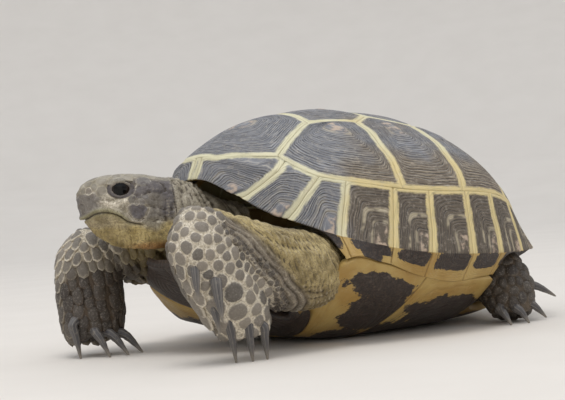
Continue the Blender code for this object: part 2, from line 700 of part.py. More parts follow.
def main():
    for stale in list(bpy.data.objects):
        bpy.data.objects.remove(stale)
    parts = collection("horsfields_tortoise")
    scute = material("scute horn", SLATE, 0.5)
    belly = material("plastron horn", HORN_YELLOW, 0.45)
    skin = material("olive skin", OLIVE_SKIN, 0.75)
    for name, (corners, areola, side) in dome_scutes().items():
        add_object(name, plate(name, corners, areola, side), parts, scute)
    add_marginals(parts, scute)
    add_plastron(parts, belly)
    add_trunk(parts, skin)
    shell_nodes = list(parts.objects)
    add_head(parts, skin, material("jaw skin", JAW_OCHRE, 0.7), material("eye", EYE_BLACK, 0.08))
    add_limbs(parts, shell_nodes, skin, material("claw", CLAW_GREY, 0.35))
    bpy.context.view_layer.update()
    stand_on_origin(parts)


main()
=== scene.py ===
"""A Horsfield's tortoise in mid-step: horn shields, skin, scales, claws and eyes over the frame.

Lengths are in millimetres until a mesh is made, and angles round the shell run from its front.
The shell is shaped level, then pitched nose up and moved to where the frame has it.
"""

from collections import namedtuple
from itertools import product
from math import cos, hypot, pi, radians, sin

import bmesh
import bpy
import numpy as np
from mathutils import Matrix, Vector
from mathutils.bvhtree import BVHTree
from mathutils.kdtree import KDTree


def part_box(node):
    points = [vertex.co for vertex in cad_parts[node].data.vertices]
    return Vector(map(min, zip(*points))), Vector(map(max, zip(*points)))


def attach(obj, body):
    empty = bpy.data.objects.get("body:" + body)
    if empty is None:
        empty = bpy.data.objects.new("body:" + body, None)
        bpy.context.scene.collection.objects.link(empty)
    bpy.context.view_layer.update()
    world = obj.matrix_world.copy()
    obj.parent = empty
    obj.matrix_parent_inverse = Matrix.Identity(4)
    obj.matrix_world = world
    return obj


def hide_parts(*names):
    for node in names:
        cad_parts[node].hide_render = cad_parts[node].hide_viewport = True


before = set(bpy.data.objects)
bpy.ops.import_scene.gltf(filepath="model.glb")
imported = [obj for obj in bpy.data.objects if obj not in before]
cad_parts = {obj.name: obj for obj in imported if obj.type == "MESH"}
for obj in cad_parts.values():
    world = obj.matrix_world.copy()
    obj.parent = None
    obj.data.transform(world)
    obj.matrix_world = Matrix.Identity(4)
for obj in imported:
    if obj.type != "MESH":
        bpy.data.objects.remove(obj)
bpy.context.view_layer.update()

MM = 0.001

# Carapace, measured level: plan ellipse, apex, and heights above the plastron's plane.
HALF_LENGTH = 92.5
HALF_WIDTH = 77.6
APEX_X = 5
APEX_HEIGHT = 93.7
RIM_ANGLES = (0, 35, 70, 110, 145, 180)
RIM_HEIGHTS = (51.1, 34, 25.7, 31, 37.4, 30.3)
SEAM_HEIGHTS = (61, 54.3, 51.8, 56, 46.6, 44.8)
SEAM_RADIUS = (0.975, 0.90, 0.866)
GIRTH = (HALF_LENGTH + HALF_WIDTH) / 2
MARGINAL_HEIGHT = 22
BRIDGE_ANGLES, BRIDGE = (0, 42, 47, 106, 112, 180), (0, 0, 1, 1, 0, 0)
SHOULDER_SLOPE = (47.5, 69, 53)
CROWN_REACH = (1.02, 0.82, 1.02)
SHOULDER_REACH = (1.08, 0.84, 0.81)
PITCH = radians(10)
PITCH_AXIS_X = 40
DISC_RADIUS = 75
FLANGE = 0.13
SCUTE_THICKNESS = 3
SCUTE_SWELL = 0.8
SHELL_CENTRE = (APEX_X, 0, 30)
VERTEBRAL_SEAMS = ((-48, 21), (-12, 19), (20, 18), (49, 15))
VERTEBRAL_CORNERS = ((-24, 27), (8, 28), (35, 25))
COSTAL_FOOT_ANGLES = (28, 68, 90, 115, 150)
MARGINAL_ANGLES = (1.5, 20, 35, 50.5, 65, 77, 91, 103, 116.5, 131, 147, 165)
MARGINAL_TOP_ANGLES = (1.5, 31, 42.5, 50.5, 65, 77, 91, 103, 116.5, 131, 147, 165)
SEAM_RISE_ANGLES, SEAM_RISE = (0, 8, 28, 42, 180), (0, 0, 0.085, 0, 0)
MARGINAL_SETS = {"front": (0, 3), "bridge": (3, 7), "rear": (7, 11)}

# Plastron along the length: height of its underside, half width, and height of its edge.
BELLY_X = (-101, -91, -76, -60, -40, -20, 38, 60, 80)
BELLY_HEIGHT = (37, 27, 14.5, 6.5, 1.2, 0, 0, 2, 8)
EDGE_X = (-101, -94, -80, -67, -62, -54.5, -38, -20, 0, 24, 33, 39, 58, 72, 80)
EDGE_HALF_WIDTH = (11, 21, 31, 37, 42, 63, 67.5, 69, 69.5, 68, 62, 42, 38, 30, 18)
EDGE_HEIGHT = (38.5, 31.5, 20, 12, 14, 34, 33, 27, 22.5, 21.5, 19, 7, 6, 8, 11)
AXILLA_X = -54
BELLY_FLAT, BELLY_CURVE = 0.27, 2.2
PLASTRON_THICKNESS = 3.6
PLASTRON_SEAMS = {
    "gular": (-101, -101, -76, -91),
    "humeral": (-76, -91, -43, -62),
    "pectoral": (-43, -62, -28, -14),
    "abdominal": (-28, -14, 34, 36),
    "femoral": (34, 36, 59, 64),
    "anal": (59, 64, 77, 80),
}

# Head, along its axis from the nape: half width, crown, throat and mouth line.
NAPE = (-90, 9, 0)
HEAD_TURN = radians(33)
HEAD_ALONG = (0, 4, 9, 14, 18, 22, 26, 30, 33.5, 36, 37.6)
HEAD_HALF_WIDTH = (12.5, 14, 14.6, 13.2, 12.2, 11.4, 10, 8.4, 7, 5.4, 3)
CROWN_HEIGHT = (75.6, 76.4, 77.4, 78, 78.2, 78.2, 77.9, 77, 75.6, 73.8, 71)
THROAT_HEIGHT = (44.6, 44.4, 44.4, 44.8, 45.4, 46.4, 48.2, 51, 54.8, 59, 64)
MOUTH_ALONG = (8, 11, 14, 17, 20, 25, 30, 34, 38)
MOUTH_HEIGHT = (55.2, 55.8, 56.5, 57.6, 60, 61.8, 61.6, 59.6, 58.6)
EYE_ALONG, EYE_OUT, EYE_HEIGHT, EYE_RADIUS = 18.5, 7.4, 71.4, 4.7

# Flesh: x, y, z, half width and half height of each station from the root outwards.
NECK = (
    (-89.7, 8.8, 60.1, 12.4, 15.4), (-87.2, 7.18, 60.1, 12.2, 15), (-84.7, 5.56, 60.1, 12, 14.4),
    (-74, 3, 55, 11.4, 12.2), (-57, 2, 51, 11, 11.6),
)
TAIL = (
    (58, 0, 19, 7, 6), (72, 0, 18, 6.5, 5.6), (84, 2, 14, 5.5, 4.8), (94, 6, 9, 4, 3.6),
    (101, 10, 5, 1.6, 1.5),
)
LEGS = {
    "front_leg_left": (
        ((-44, -40, 30, 13, 13.5), (-61, -46.5, 32, 16, 17), (-80, -49, 36, 15, 17.5),
         (-98, -50, 44, 14, 15.5), (-114, -50, 51, 12.5, 12.5), (-124, -50, 53, 8, 6.5)),
        ((-115, -51, 60, 8, 7), (-118, -51, 50, 12, 13.5), (-113, -51, 38, 12.5, 14.5),
         (-105, -50, 26, 12, 14), (-99, -49, 17, 11.5, 12.5), (-98, -48.5, 10, 10, 11)),
    ),
    "front_leg_right": (
        ((-46, 38, 38, 14, 14.5), (-64, 41, 41, 14, 14), (-84, 44, 44, 13.5, 13.5),
         (-98, 46, 45, 13, 12.5), (-108, 46.5, 44, 10, 9)),
        ((-103, 46, 53, 9, 8), (-106, 46, 44, 12, 13.5), (-107.5, 46, 33, 12.5, 15),
         (-107.5, 45.5, 22, 12.5, 15), (-108, 44.5, 14, 12, 14.5), (-108, 43, 8.5, 10.5, 12.5)),
    ),
    "rear_leg_left": (
        ((41, -29, 29, 14, 14), (47, -41, 26, 14.4, 14.4), (50, -50, 20, 13.8, 13.4),
         (50, -56, 13, 12.5, 12.5), (48, -59, 7, 10.5, 10.5), (47, -60, 3, 8.5, 8.5)),
    ),
    "rear_leg_right": (
        ((42, 29, 29, 14, 14), (48.5, 40, 25, 14.2, 14.2), (50.5, 49, 18, 13.4, 13),
         (48, 53, 10, 12.5, 12), (46, 54, 4, 11.5, 11), (46, 54, -2, 10.5, 10)),
    ),
}
CLAWS = {
    "front_leg_left": (
        ((-116.5, -55, 25), (-115, -56, 12.5)), ((-109, -55, 16.5), (-106.5, -54, 0)),
        ((-102, -57, 13.5), (-101, -57.5, 0)), ((-95.5, -57.5, 12.5), (-94, -58, 0)),
    ),
    "front_leg_right": (
        ((-121.5, 38, 14), (-120, 37, 0)), ((-113.5, 34, 10.5), (-111.5, 27, 0)),
        ((-107, 33, 9), (-103, 25.5, 0)), ((-100, 35, 8.5), (-94, 28, 0)),
    ),
    "rear_leg_left": (
        ((56, -62, 16), (71, -66, 9.5)), ((51, -66, 8), (59, -70, 1)),
        ((43, -67, 6), (44, -73, 0)), ((37, -63, 6), (35, -70.5, 0)),
    ),
    "rear_leg_right": (
        ((38, 47, 5), (27, 45, 0)), ((37, 53, 5), (25, 54, 0)),
        ((39, 59, 5), (28, 63, 0)), ((44, 63, 5), (37, 70, 0)),
    ),
}
CLAW_RADIUS = 2.1
CLAW_GRID = (44, 28)

# Horn: how finely it is meshed, and the size of its growth rings.
OUTLINE_STEP = 1.0
PLATE_RINGS = 120
DOME_GROWTH = 25
MARGINAL_GROWTH = 14
GROOVE_DEPTH = 0.13
SEAM_DEPTH = 0.4
SEAM_SHARE = 0.9995
AREOLA_SHARE = 0.13
SCUTE_WANDER = 0.8

# Marginals: how they are meshed, the levels and depths of the rows behind them, the levels halfway
# between those rows, and the areola's place and share. A rim thinner than a wedge is filled.
COLUMN_WIDTH = 0.42
TOP_ROWS, UNDERSIDE_ROWS = 56, 30
INNER_ROWS = ((1.93, 1.9), (1.45, 1.95), (0.7, 3.9), (0.1, 3))
INNER_HALFWAY = (0.4, 1.075, 1.69)
SOLID_WEDGE, HOLLOW_WEDGE = 12, 20
KEEL_ROUNDING = 0.05
AREOLA_UP, AREOLA_DOWN = 0.86, 1.14
MARGINAL_AREOLA = 0.16
MARGINAL_AREOLA_ACROSS, MIDDLE = 0.84, 0.5

# Plates of the plastron.
PLATE_COLUMNS, PLATE_ROW, PLATE_FEWEST_ROWS = 46, 0.8, 22
PLATE_GROWTH = 9

# Dark blotches of the plastron: x, share of the half width, and their reach in both.
BLOTCHES = {
    # The gular blotch at x -101 darkens the plates' front end as painted shade under the throat.
    "gular": ((-90, 0.4, 10, 0.9), (-101, 0.4, 8, 0.9)),
    "humeral": ((-60, 0.55, 13, 0.7), (-66, 0.95, 8, 0.2)),
    "pectoral": (
        (-32, 0.9, 17, 0.065), (-30, 0.72, 15, 0.15), (-34, 0.42, 11, 0.16), (-40, 0.2, 9, 0.2),
        (-25, 0.8, 9, 0.12),
    ),
    "abdominal": ((10, 0.75, 23, 0.15), (-6, 0.5, 18, 0.17), (8, 0.25, 34, 0.26), (22, 0.56, 12, 0.2)),
    "femoral": ((48, 0.6, 11, 0.34), (46, 0.25, 9, 0.2)),
    "anal": ((69, 0.45, 7, 0.38),),
}

# Skin and scales: the skin's depth inside the frame's flesh, its fineness, and a scale's rings.
SKIN_DEPTH = 0.5
SKIN_VOXEL = 0.6
SCALE_SIDES = 14
SCALE_RINGS = (0.4, 0.7, 0.88, 0.97, 1.0)
SCALE_TURN = 2 * pi * np.arange(SCALE_SIDES) / SCALE_SIDES
SCALE_BACK = 0.45
SOWING_SEED = 7
BAKED_RADIUS = 0.0014

# The near shoulder's folds curve about this x and z. The crease between scales and folds passes
# through a point of x and z, and a line square to it has this run.
SHOULDER = (-72, 72)
CREASE, ACROSS_CREASE = (-105.6, 41.9), (0.70, 0.714)

# How the scales of each region stand: their gap, widest reach, height and lean.
ScaleKind = namedtuple("ScaleKind", "gap widest tall taller front_lean lean")
SCALE_KINDS = {
    "scales_front_left": ScaleKind(0.16, 0.84, 0.19, 1.0, 0.7, 0.0),
    "scales_front_right": ScaleKind(0.16, 0.84, 0.19, 1.3, 0.7, 0.7),
    "scales_rear": ScaleKind(0.16, 0.84, 0.19, 1.0, 0.0, 0.0),
    "scales_head": ScaleKind(0.06, 1.05, 0.05, 1.0, 0.0, 0.0),
}
Sown = namedtuple("Sown", "seeds sizes normals part t u gap tall lean")

# Scales given one by one: x, y, z, width and length.
GIVEN_SCALES = (
    (-111.8, -62, 27.8, 7.4, 0), (-103.1, -62, 25.8, 5.2, 0), (-108.6, -60, 20.2, 6.6, 0),
    (-99.6, -60, 20.1, 5.0, 0), (-110.4, -64, 43.1, 4.8, 0.2), (-117, -60, 33, 5.0, 0.3),
)
# Hanging spurs of the near foreleg: root, tip, half width and half thickness.
SPURS = (
    ((-119.2, -61, 33.5), (-117.4, -61.5, 17), 2.3, 1.1),
    ((-126, -57.5, 39), (-126.3, -59, 26), 1.8, 0.9),
)
SPUR_GRID = (36, 24)

# Lines and outlines of the head's side, as along and height.
BROW = ((26.5, 73.6), (22, 75.6), (16, 76), (11, 75.2))
CHEEK = ((28.4, 67.4), (25, 65.6), (22.3, 64.6), (17.2, 66.4))
NOSE_CREASE = ((33.6, 70.7), (30.2, 71.3), (27.5, 68.2))
TEMPLE = (
    (13.4, 70.5), (11.7, 73.4), (7.8, 74.4), (2, 73.2), (-0.3, 69.6), (2.3, 68.5), (7.3, 69.3),
    (11.7, 66.2), (14.2, 66.8),
)
TYMPANUM = (
    (16.5, 64), (14.7, 65.2), (9.7, 64.8), (7.4, 62.6), (9.3, 58.9), (11.5, 57.4), (14.4, 58.4),
    (16.3, 61.1),
)
TEMPLE_BORDER = ((15.2, 67.2), (13.4, 70.2), (11.6, 73.4))
EYE_CORNER = ((14.6, 72.5), (11.8, 74.2))
NAPE_BAND = ((-0.5, 71), (-3.5, 67), (-1.5, 61))
THROAT_FOLD = ((5.4, 54), (2, 50), (-0.3, 46.4))
NOSTRIL_ALONG, NOSTRIL_OUT, NOSTRIL_HEIGHT = 36.4, 1.9, 69.4

# Setting: the floor's rings as radius and height, the lights, and the camera.
FLOOR_RINGS = ((0.9, 0), (1.6, 0), (2.2, 0.12), (2.8, 0.5), (3.2, 1.1), (3.4, 1.8))
FLOOR_SIDES = 96
SKY_COLOUR, SKY_STRENGTH = (0.90, 0.94, 1.0, 1), 0.95
LIGHTS = (
    ("sky panel", (-0.4, -0.3, 1.7), 11, 0.8, (1.0, 0.98, 0.95)),
    ("front fill", (-1.3, -1.2, 0.6), 2, 1.2, (1.0, 0.96, 0.9)),
)
CAMERA_PLACE = (-0.45495, -0.5231, 0.062)
CAMERA_YAW = radians(39.9)
CAMERA_ROLL = radians(-4)
CAMERA_LENS = 97.1

HEAD_FORWARD = np.array([-cos(HEAD_TURN), sin(HEAD_TURN), 0])
HEAD_LEFT = np.array([-sin(HEAD_TURN), -cos(HEAD_TURN), 0])
EYE_PLACE = np.array([
    NAPE[0] - EYE_ALONG * cos(HEAD_TURN) - EYE_OUT * sin(HEAD_TURN),
    NAPE[1] + EYE_ALONG * sin(HEAD_TURN) - EYE_OUT * cos(HEAD_TURN),
    EYE_HEIGHT,
])
EYE_BOX = np.array([list(corner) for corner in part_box("eye_left")])
SHIFT = EYE_BOX.mean(0) / MM - EYE_PLACE


# ---------------------------------------------------------------- numbers and noise

def curve_value(knots, values, at):
    """A smooth curve through the values, level at both ends."""
    knots, values = np.asarray(knots, float), np.asarray(values, float)
    at = np.clip(at, knots[0], knots[-1])
    index = np.clip(np.searchsorted(knots, at, side="right") - 1, 0, len(knots) - 2)
    slopes = np.zeros(len(knots))
    slopes[1:-1] = (values[2:] - values[:-2]) / (knots[2:] - knots[:-2])
    span = knots[index + 1] - knots[index]
    t = (at - knots[index]) / span
    return (
        (2 * t**3 - 3 * t**2 + 1) * values[index]
        + (t**3 - 2 * t**2 + t) * span * slopes[index]
        + (3 * t**2 - 2 * t**3) * values[index + 1]
        + (t**3 - t**2) * span * slopes[index + 1]
    )


def step(value, low, high):
    """0 below low and 1 above high, smooth between; low may be the higher."""
    t = np.clip((value - low) / (high - low), 0, 1)
    return t * t * (3 - 2 * t)


def hashed(cells, seed):
    """A number from 0 to 1 for each whole-numbered cell."""
    x, y, z = cells[..., 0], cells[..., 1], cells[..., 2]
    h = x * 374761393 + y * 668265263 + z * 1442695041 + seed * 97471
    h = ((h ^ (h >> 13)) * 1274126177) & 0xFFFFFFFF
    h = ((h ^ (h >> 15)) * 668265263) & 0xFFFFFFFF
    return ((h ^ (h >> 16)) & 0xFFFF) / 65535


def noise(points, size, seed=0):
    """Smooth noise from -1 to 1 whose features are about `size` across."""
    points = np.asarray(points, float) / size
    cells = np.floor(points).astype(np.int64)
    part = points - cells
    part = part * part * (3 - 2 * part)
    total = 0
    for corner in product((0, 1), repeat=3):
        weight = np.prod(np.where(corner, part, 1 - part), axis=-1)
        total = total + weight * hashed(cells + np.array(corner), seed)
    return 2 * total - 1


def unit(vectors):
    return vectors / np.maximum(np.linalg.norm(vectors, axis=-1, keepdims=True), 1e-9)


def bell(value, middle, reach, power=2):
    """1 at the middle, falling to 0 beyond the reach."""
    return np.exp(-(((value - middle) / reach) ** power))


def near_points(points):
    """A tree that finds the points near a place."""
    tree = KDTree(len(points))
    for index, point in enumerate(points.tolist()):
        tree.insert(point, index)
    tree.balance()
    return tree


def rounded_loop(loop, times):
    """The closed loop with its corners worn round."""
    for _ in range(times):
        loop = (np.roll(loop, 1, axis=0) + 2 * loop + np.roll(loop, -1, axis=0)) / 4
    return loop


# ---------------------------------------------------------------- shell surface

def by_angle(values, angle):
    """Blends a front, side and rear value round the shell."""
    front, side, rear = values
    return side + (np.where(np.cos(angle) > 0, front, rear) - side) * np.cos(angle) ** 2


def rim_height(angle):
    return curve_value(RIM_ANGLES, RIM_HEIGHTS, np.degrees(angle))


def seam_height(angle):
    return curve_value(RIM_ANGLES, SEAM_HEIGHTS, np.degrees(angle))


def pitched(points):
    """The level shell's points, with the shell tipped nose up."""
    x, z = points[..., 0] - PITCH_AXIS_X, points[..., 2]
    along = x * cos(PITCH) + z * sin(PITCH)
    return np.stack([PITCH_AXIS_X + along, points[..., 1], z * cos(PITCH) - x * sin(PITCH)], -1)


def radial_point(angle, share, height, side):
    """A point at this share of the way from the apex's axis to the rim's plan outline."""
    x = -HALF_LENGTH * np.cos(angle)
    y = HALF_WIDTH * np.sin(angle)
    return np.stack(np.broadcast_arrays(APEX_X + (x - APEX_X) * share, side * y * share, height), -1)


def dome_point(angle, t, side):
    """The level carapace from its apex, t = 0, to the seam over the marginals, t = 1."""
    slope = np.radians(by_angle(SHOULDER_SLOPE, angle))
    crown = by_angle(CROWN_REACH, angle)
    shoulder = by_angle(SHOULDER_REACH, angle)
    rim = np.hypot(-HALF_LENGTH * np.cos(angle) - APEX_X, HALF_WIDTH * np.sin(angle))
    ends = 3 * t**2 - 2 * t**3
    out, into = t**3 - 2 * t**2 + t, t**3 - t**2
    share = ends * by_angle(SEAM_RADIUS, angle) + out * crown + into * shoulder * np.cos(slope)
    height = (1 - ends) * APEX_HEIGHT + ends * seam_height(angle) - into * shoulder * np.sin(slope) * rim
    return radial_point(angle, share, height, side)


def plan_to_disc(x, y):
    """Where a level plan point lies on the disc whose radius is the dome's t."""
    spot = (x - APEX_X, abs(y))
    low, high = 0.0, pi
    for _ in range(40):
        angle = (low + high) / 2
        ray = radial_point(angle, 1, 0, 1)
        short = (ray[0] - APEX_X) * spot[1] - ray[1] * spot[0] < 0
        low, high = (angle, high) if short else (low, angle)
    low, high = 0.0, 1.0
    for _ in range(40):
        t = (low + high) / 2
        reach = dome_point(angle, t, 1)
        short = hypot(reach[0] - APEX_X, reach[1]) < hypot(*spot)
        low, high = (t, high) if short else (low, t)
    return np.array([-t * cos(angle), t * sin(angle)])


def disc_surface(disc):
    """The pitched carapace over points of the disc; negative y is the animal's left."""
    x, y = disc[..., 0], disc[..., 1]
    return pitched(dome_point(np.arctan2(np.abs(y), -x), np.hypot(x, y), np.where(y >= 0, 1, -1)))


def plastron_point(x, q):
    """The underside of the plastron x along, at the share q of its half width."""
    base = np.maximum(curve_value(BELLY_X, BELLY_HEIGHT, x), 0)
    edge = curve_value(EDGE_X, EDGE_HEIGHT, x)
    width = curve_value(EDGE_X, EDGE_HALF_WIDTH, x)
    rise = np.maximum(np.abs(q) - BELLY_FLAT, 0) / (1 - BELLY_FLAT)
    return np.stack([x + 0 * q, q * width, base + (edge - base) * rise**BELLY_CURVE], -1)


def marginal_point(angle, s, side):
    """A marginal's surface: seam at s = 0, rim at 1, inner edge at 2, and the dome below 0."""
    seam = radial_point(angle, by_angle(SEAM_RADIUS, angle), seam_height(angle), side)
    rim = radial_point(angle, 1, rim_height(angle), side)
    top = pitched(seam + (rim - seam) * np.clip(s, 0, 1)[..., None])
    dome = pitched(dome_point(angle, 1 + np.minimum(s, 0), side))
    top = np.where((s < 0)[..., None], dome, top)
    flange = pitched(radial_point(angle, 1 - FLANGE, rim[..., 2] + 2, side))
    rim = pitched(rim)
    edge = plastron_point(np.maximum(rim[..., 0], AXILLA_X), side * np.ones_like(angle))
    edge[..., 2] += 2
    bridge = curve_value(BRIDGE_ANGLES, BRIDGE, np.degrees(angle))[..., None]
    under = rim + (flange + (edge - flange) * bridge - rim) * np.maximum(s - 1, 0)[..., None]
    return np.where((s <= 1)[..., None], top, under)


def grid_normals(grid, wrap):
    """Unit normals of a grid of points; `wrap` says that its columns close round."""
    down = np.gradient(grid, axis=0)
    if wrap:
        across = (np.roll(grid, -1, axis=1) - np.roll(grid, 1, axis=1)) / 2
    else:
        across = np.gradient(grid, axis=1)
    return unit(np.cross(down, across))


# ---------------------------------------------------------------- meshes and pieces

def grid_faces(rows, columns, wrap, start=0):
    """Quads of a grid, its columns closed round where `wrap` says so."""
    i, j = np.meshgrid(np.arange(rows - 1), np.arange(columns - (not wrap)), indexing="ij")
    k = (j + 1) % columns
    here, below = i * columns, (i + 1) * columns
    return np.stack([here + j, here + k, below + k, below + j], -1).reshape(-1, 4) + start


class Pile:
    """Points, faces and painted values of shapes that end as one mesh."""

    def __init__(self):
        self.points, self.faces, self.values, self.size = [], [], {}, 0

    def add(self, points, faces, **values):
        points = np.asarray(points).reshape(-1, 3)
        self.faces += [tuple(int(v) + self.size for v in face) for face in faces]
        self.points.append(points)
        for name, value in values.items():
            self.values.setdefault(name, []).append(np.broadcast_to(value, len(points)))
        self.size += len(points)

    def mesh(self, name):
        made = bpy.data.meshes.new(name)
        points = (np.concatenate(self.points) + SHIFT) * MM
        made.from_pydata(points.tolist(), [], self.faces)
        for title, chunks in self.values.items():
            paint(made, title, np.concatenate(chunks))
        return made


def paint(mesh, name, values):
    """Stores one number per vertex for the materials to read."""
    layer = mesh.attributes.get(name) or mesh.attributes.new(name, "FLOAT", "POINT")
    layer.data.foreach_set("value", np.asarray(values, np.float32))


def read_points(mesh):
    points = np.empty(len(mesh.vertices) * 3, np.float32)
    mesh.vertices.foreach_get("co", points)
    return points.reshape(-1, 3).astype(float) / MM - SHIFT


def write_points(mesh, points):
    mesh.vertices.foreach_set("co", ((points + SHIFT) * MM).astype(np.float32).ravel())
    mesh.update()


def face_outward(mesh):
    """Turns every face of the mesh's closed shapes outwards."""
    shape = bmesh.new()
    shape.from_mesh(mesh)
    bmesh.ops.recalc_face_normals(shape, faces=shape.faces)
    shape.to_mesh(mesh)
    shape.free()


def put_in_scene(name, data):
    """A new object that holds the mesh, light or camera."""
    made = bpy.data.objects.new(name, data)
    bpy.context.scene.collection.objects.link(made)
    return made


def place_piece(name, mesh, look, nodes=(), outward=True):
    """Puts a mesh in the scene as a piece of the animal."""
    if outward:
        face_outward(mesh)
    mesh.shade_smooth()
    mesh.materials.append(look)
    piece = put_in_scene(name, mesh)
    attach(piece, "root")
    if nodes:
        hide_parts(*nodes)


# ---------------------------------------------------------------- materials

class Wire:
    """A socket's value in a material, with the arithmetic that adds its Math nodes."""

    def __init__(self, look, socket):
        self.look, self.socket = look, socket

    def __add__(self, other):
        return self.look.maths("ADD", self, other)

    def __sub__(self, other):
        return self.look.maths("SUBTRACT", self, other)

    def __rsub__(self, other):
        return self.look.maths("SUBTRACT", other, self)

    def __mul__(self, other):
        return self.look.maths("MULTIPLY", self, other)

    def fraction(self):
        return self.look.maths("FRACT", self, 0)

    def smaller(self, other):
        return self.look.maths("MINIMUM", self, other)

    __radd__, __rmul__ = __add__, __mul__


class Look:
    """A material under construction."""

    def __init__(self, name):
        self.material = bpy.data.materials.new(name)
        self.material.use_nodes = True
        self.tree = self.material.node_tree
        self.shader = self.tree.nodes["Principled BSDF"]
        place = self.tree.nodes.new("ShaderNodeTexCoord").outputs["Object"]
        self.place = Wire(self, place)

    def node(self, kind, settings=None, inputs=None, output=0):
        """Any node: its settings first, then the values or links of its sockets."""
        made = self.tree.nodes.new(kind)
        for key, value in (settings or {}).items():
            setattr(made, key, value)
        for key, value in (inputs or {}).items():
            self.plug(made.inputs[key], value)
        return Wire(self, made.outputs[output])

    def plug(self, socket, value):
        if isinstance(value, Wire):
            self.tree.links.new(value.socket, socket)
        elif isinstance(value, tuple) and len(value) == 3 and socket.type == "RGBA":
            socket.default_value = (*value, 1)
        else:
            socket.default_value = value

    def maths(self, operation, a, b):
        return self.node("ShaderNodeMath", {"operation": operation}, {0: a, 1: b})

    def mix(self, share, a, b):
        """Colour a turning into colour b as the share goes from 0 to 1."""
        settings = {"data_type": "RGBA", "clamp_factor": True}
        return self.node("ShaderNodeMix", settings, {0: share, 6: a, 7: b}, 2)

    def value(self, name):
        """A number painted on the mesh."""
        return self.node("ShaderNodeAttribute", {"attribute_name": name}, None, "Fac")

    def step(self, value, low, high):
        """0 below low and 1 above high, smooth between."""
        settings = {"interpolation_type": "SMOOTHSTEP", "clamp": True}
        inputs = {"Value": value, "From Min": low, "From Max": high, "To Min": 0.0, "To Max": 1.0}
        if low > high:
            inputs.update({"From Min": high, "From Max": low, "To Min": 1.0, "To Max": 0.0})
        return self.node("ShaderNodeMapRange", settings, inputs)

    def noise(self, size, detail=2.0, roughness=0.5, vector=None, distortion=0.0):
        """Noise from about 0 to 1, its features about `size` millimetres across."""
        inputs = {"Scale": 1 / (size * MM) if vector is None else 1 / size, "Detail": detail}
        inputs.update({"Roughness": roughness, "Distortion": distortion})
        inputs["Vector"] = self.place if vector is None else vector
        return self.node("ShaderNodeTexNoise", None, inputs)

    def cracks(self, size):
        """Distance to the borders of cells about `size` millimetres across."""
        inputs = {"Scale": 1 / (size * MM), "Vector": self.place}
        return self.node("ShaderNodeTexVoronoi", {"feature": "DISTANCE_TO_EDGE"}, inputs, "Distance")

    def combine(self, x, y, z=0.0):
        return self.node("ShaderNodeCombineXYZ", None, {0: x, 1: y, 2: z})

    def bump(self, height, depth, strength):
        """A bump `depth` millimetres deep."""
        inputs = {"Height": height, "Distance": depth * MM, "Strength": strength}
        return self.node("ShaderNodeBump", None, inputs)

    def finish(self, **sockets):
        """Plugs in the shader's sockets, named in lower case, and gives the material."""
        for name, value in sockets.items():
            title = name.replace("_", " ").title().replace("Ior", "IOR")
            self.plug(self.shader.inputs[title], value)
        return self.material


# ---------------------------------------------------------------- horn shields

def horn_look():
    """Ridged horn: slate (partly painted sky sheen) to brown fields, pale seams and areolae, ochre below
    the keel.
    """
    look = Look("tortoise horn")
    growth, edge, under = look.value("growth"), look.value("edge"), look.value("under")
    around = look.value("around")
    patches, grain = look.noise(14, 3), look.noise(0.9, 4, 0.65)
    streak = look.noise(1.0, 3, 0.6, look.combine(around * 0.10, growth * 1.7))
    fine_streak = look.noise(0.35, 2, 0.6, look.combine(around * 0.05, growth * 1.4))
    warm = look.step(look.value("warmth") + (patches - 0.5) * 0.9, 0.3, 0.75)
    groove = ring_grooves(look, growth, around)
    field = horn_field(look, warm, streak, fine_streak, groove)
    wander = (look.noise(5, 4, 0.6) - 0.5) * 1.8 + (streak - 0.5) * 1.2 + (grain - 0.5) * 0.8
    band = look.step(edge + wander, 2.7, 1.4)
    top = look.mix(band * 0.95, field, seam_colour(look, warm, streak))
    suture = look.step(edge + (grain - 0.5) * 0.3, 0.32, 0.05)
    top = look.mix(suture * 0.35, top, (0.30, 0.25, 0.12))
    belly = belly_colour(look, patches, streak, grain, edge)
    colour = look.mix(look.step(under + (grain - 0.5) * 0.2, 0.4, 0.6), top, belly)
    dust = look.step(look.noise(2.2, 5, 0.75), 0.5, 0.7) * 0.3 * (1 - under * 0.7)
    colour = look.mix(dust, colour, (0.56, 0.49, 0.39))
    rough = 0.48 + grain * 0.22 - look.step(under, 0.4, 0.6) * 0.1
    height = (1 - groove * (1 - band * 0.8)) * 0.7 + streak * 0.5 + grain * 0.3 + fine_streak * 0.3
    return look.finish(base_color=colour, roughness=rough, normal=look.bump(height, 0.24, 0.95))


def ring_grooves(look, growth, around):
    """1 in the broken dark grooves between growth rings."""
    ring = (growth + (look.noise(3, 3) - 0.5) * 0.65).fraction()
    groove = look.step(ring, 0.3, 0.0) + look.step(ring, 0.7, 1.0)
    along = look.combine(around * 0.10, growth * 0.8, 5.0)
    broken = look.step(look.noise(1.0, 3, 0.6, along), 0.36, 0.58)
    return groove * look.step(growth, 0.2, 1.6) * (0.2 + broken * 0.8)


def horn_field(look, warm, streak, fine_streak, groove):
    """The dark horn of a plate's middle, with its rings, worn areola and cream rings."""
    # Cool blue-grey where warmth is low; on the dome's upward-facing horn this is a painted sky sheen.
    field = look.mix(warm, (0.14, 0.145, 0.165), (0.135, 0.105, 0.075))
    pale = look.mix(warm, (0.37, 0.37, 0.38), (0.36, 0.295, 0.21))
    field = look.mix(look.step(streak, 0.40, 0.75) * 0.7, field, pale)
    field = look.mix(groove * 0.92, field, (0.022, 0.019, 0.018))
    field = look.mix(look.step(fine_streak, 0.55, 0.66) * 0.6, field, (0.46, 0.43, 0.37))
    field = look.mix(look.value("dull") * 0.55, field, (0.045, 0.034, 0.026))
    worn = look.step(look.noise(5, 3, 0.6) + streak * 0.3, 0.62, 0.76)
    worn = worn * look.step(look.value("areola"), 0.0, 0.8)
    field = look.mix(worn * 0.85, field, (0.52, 0.40, 0.30))
    cream = look.value("cream") * look.step(look.noise(7, 2), 0.42, 0.56)
    return look.mix(cream * 0.8, field, (0.50, 0.43, 0.30))


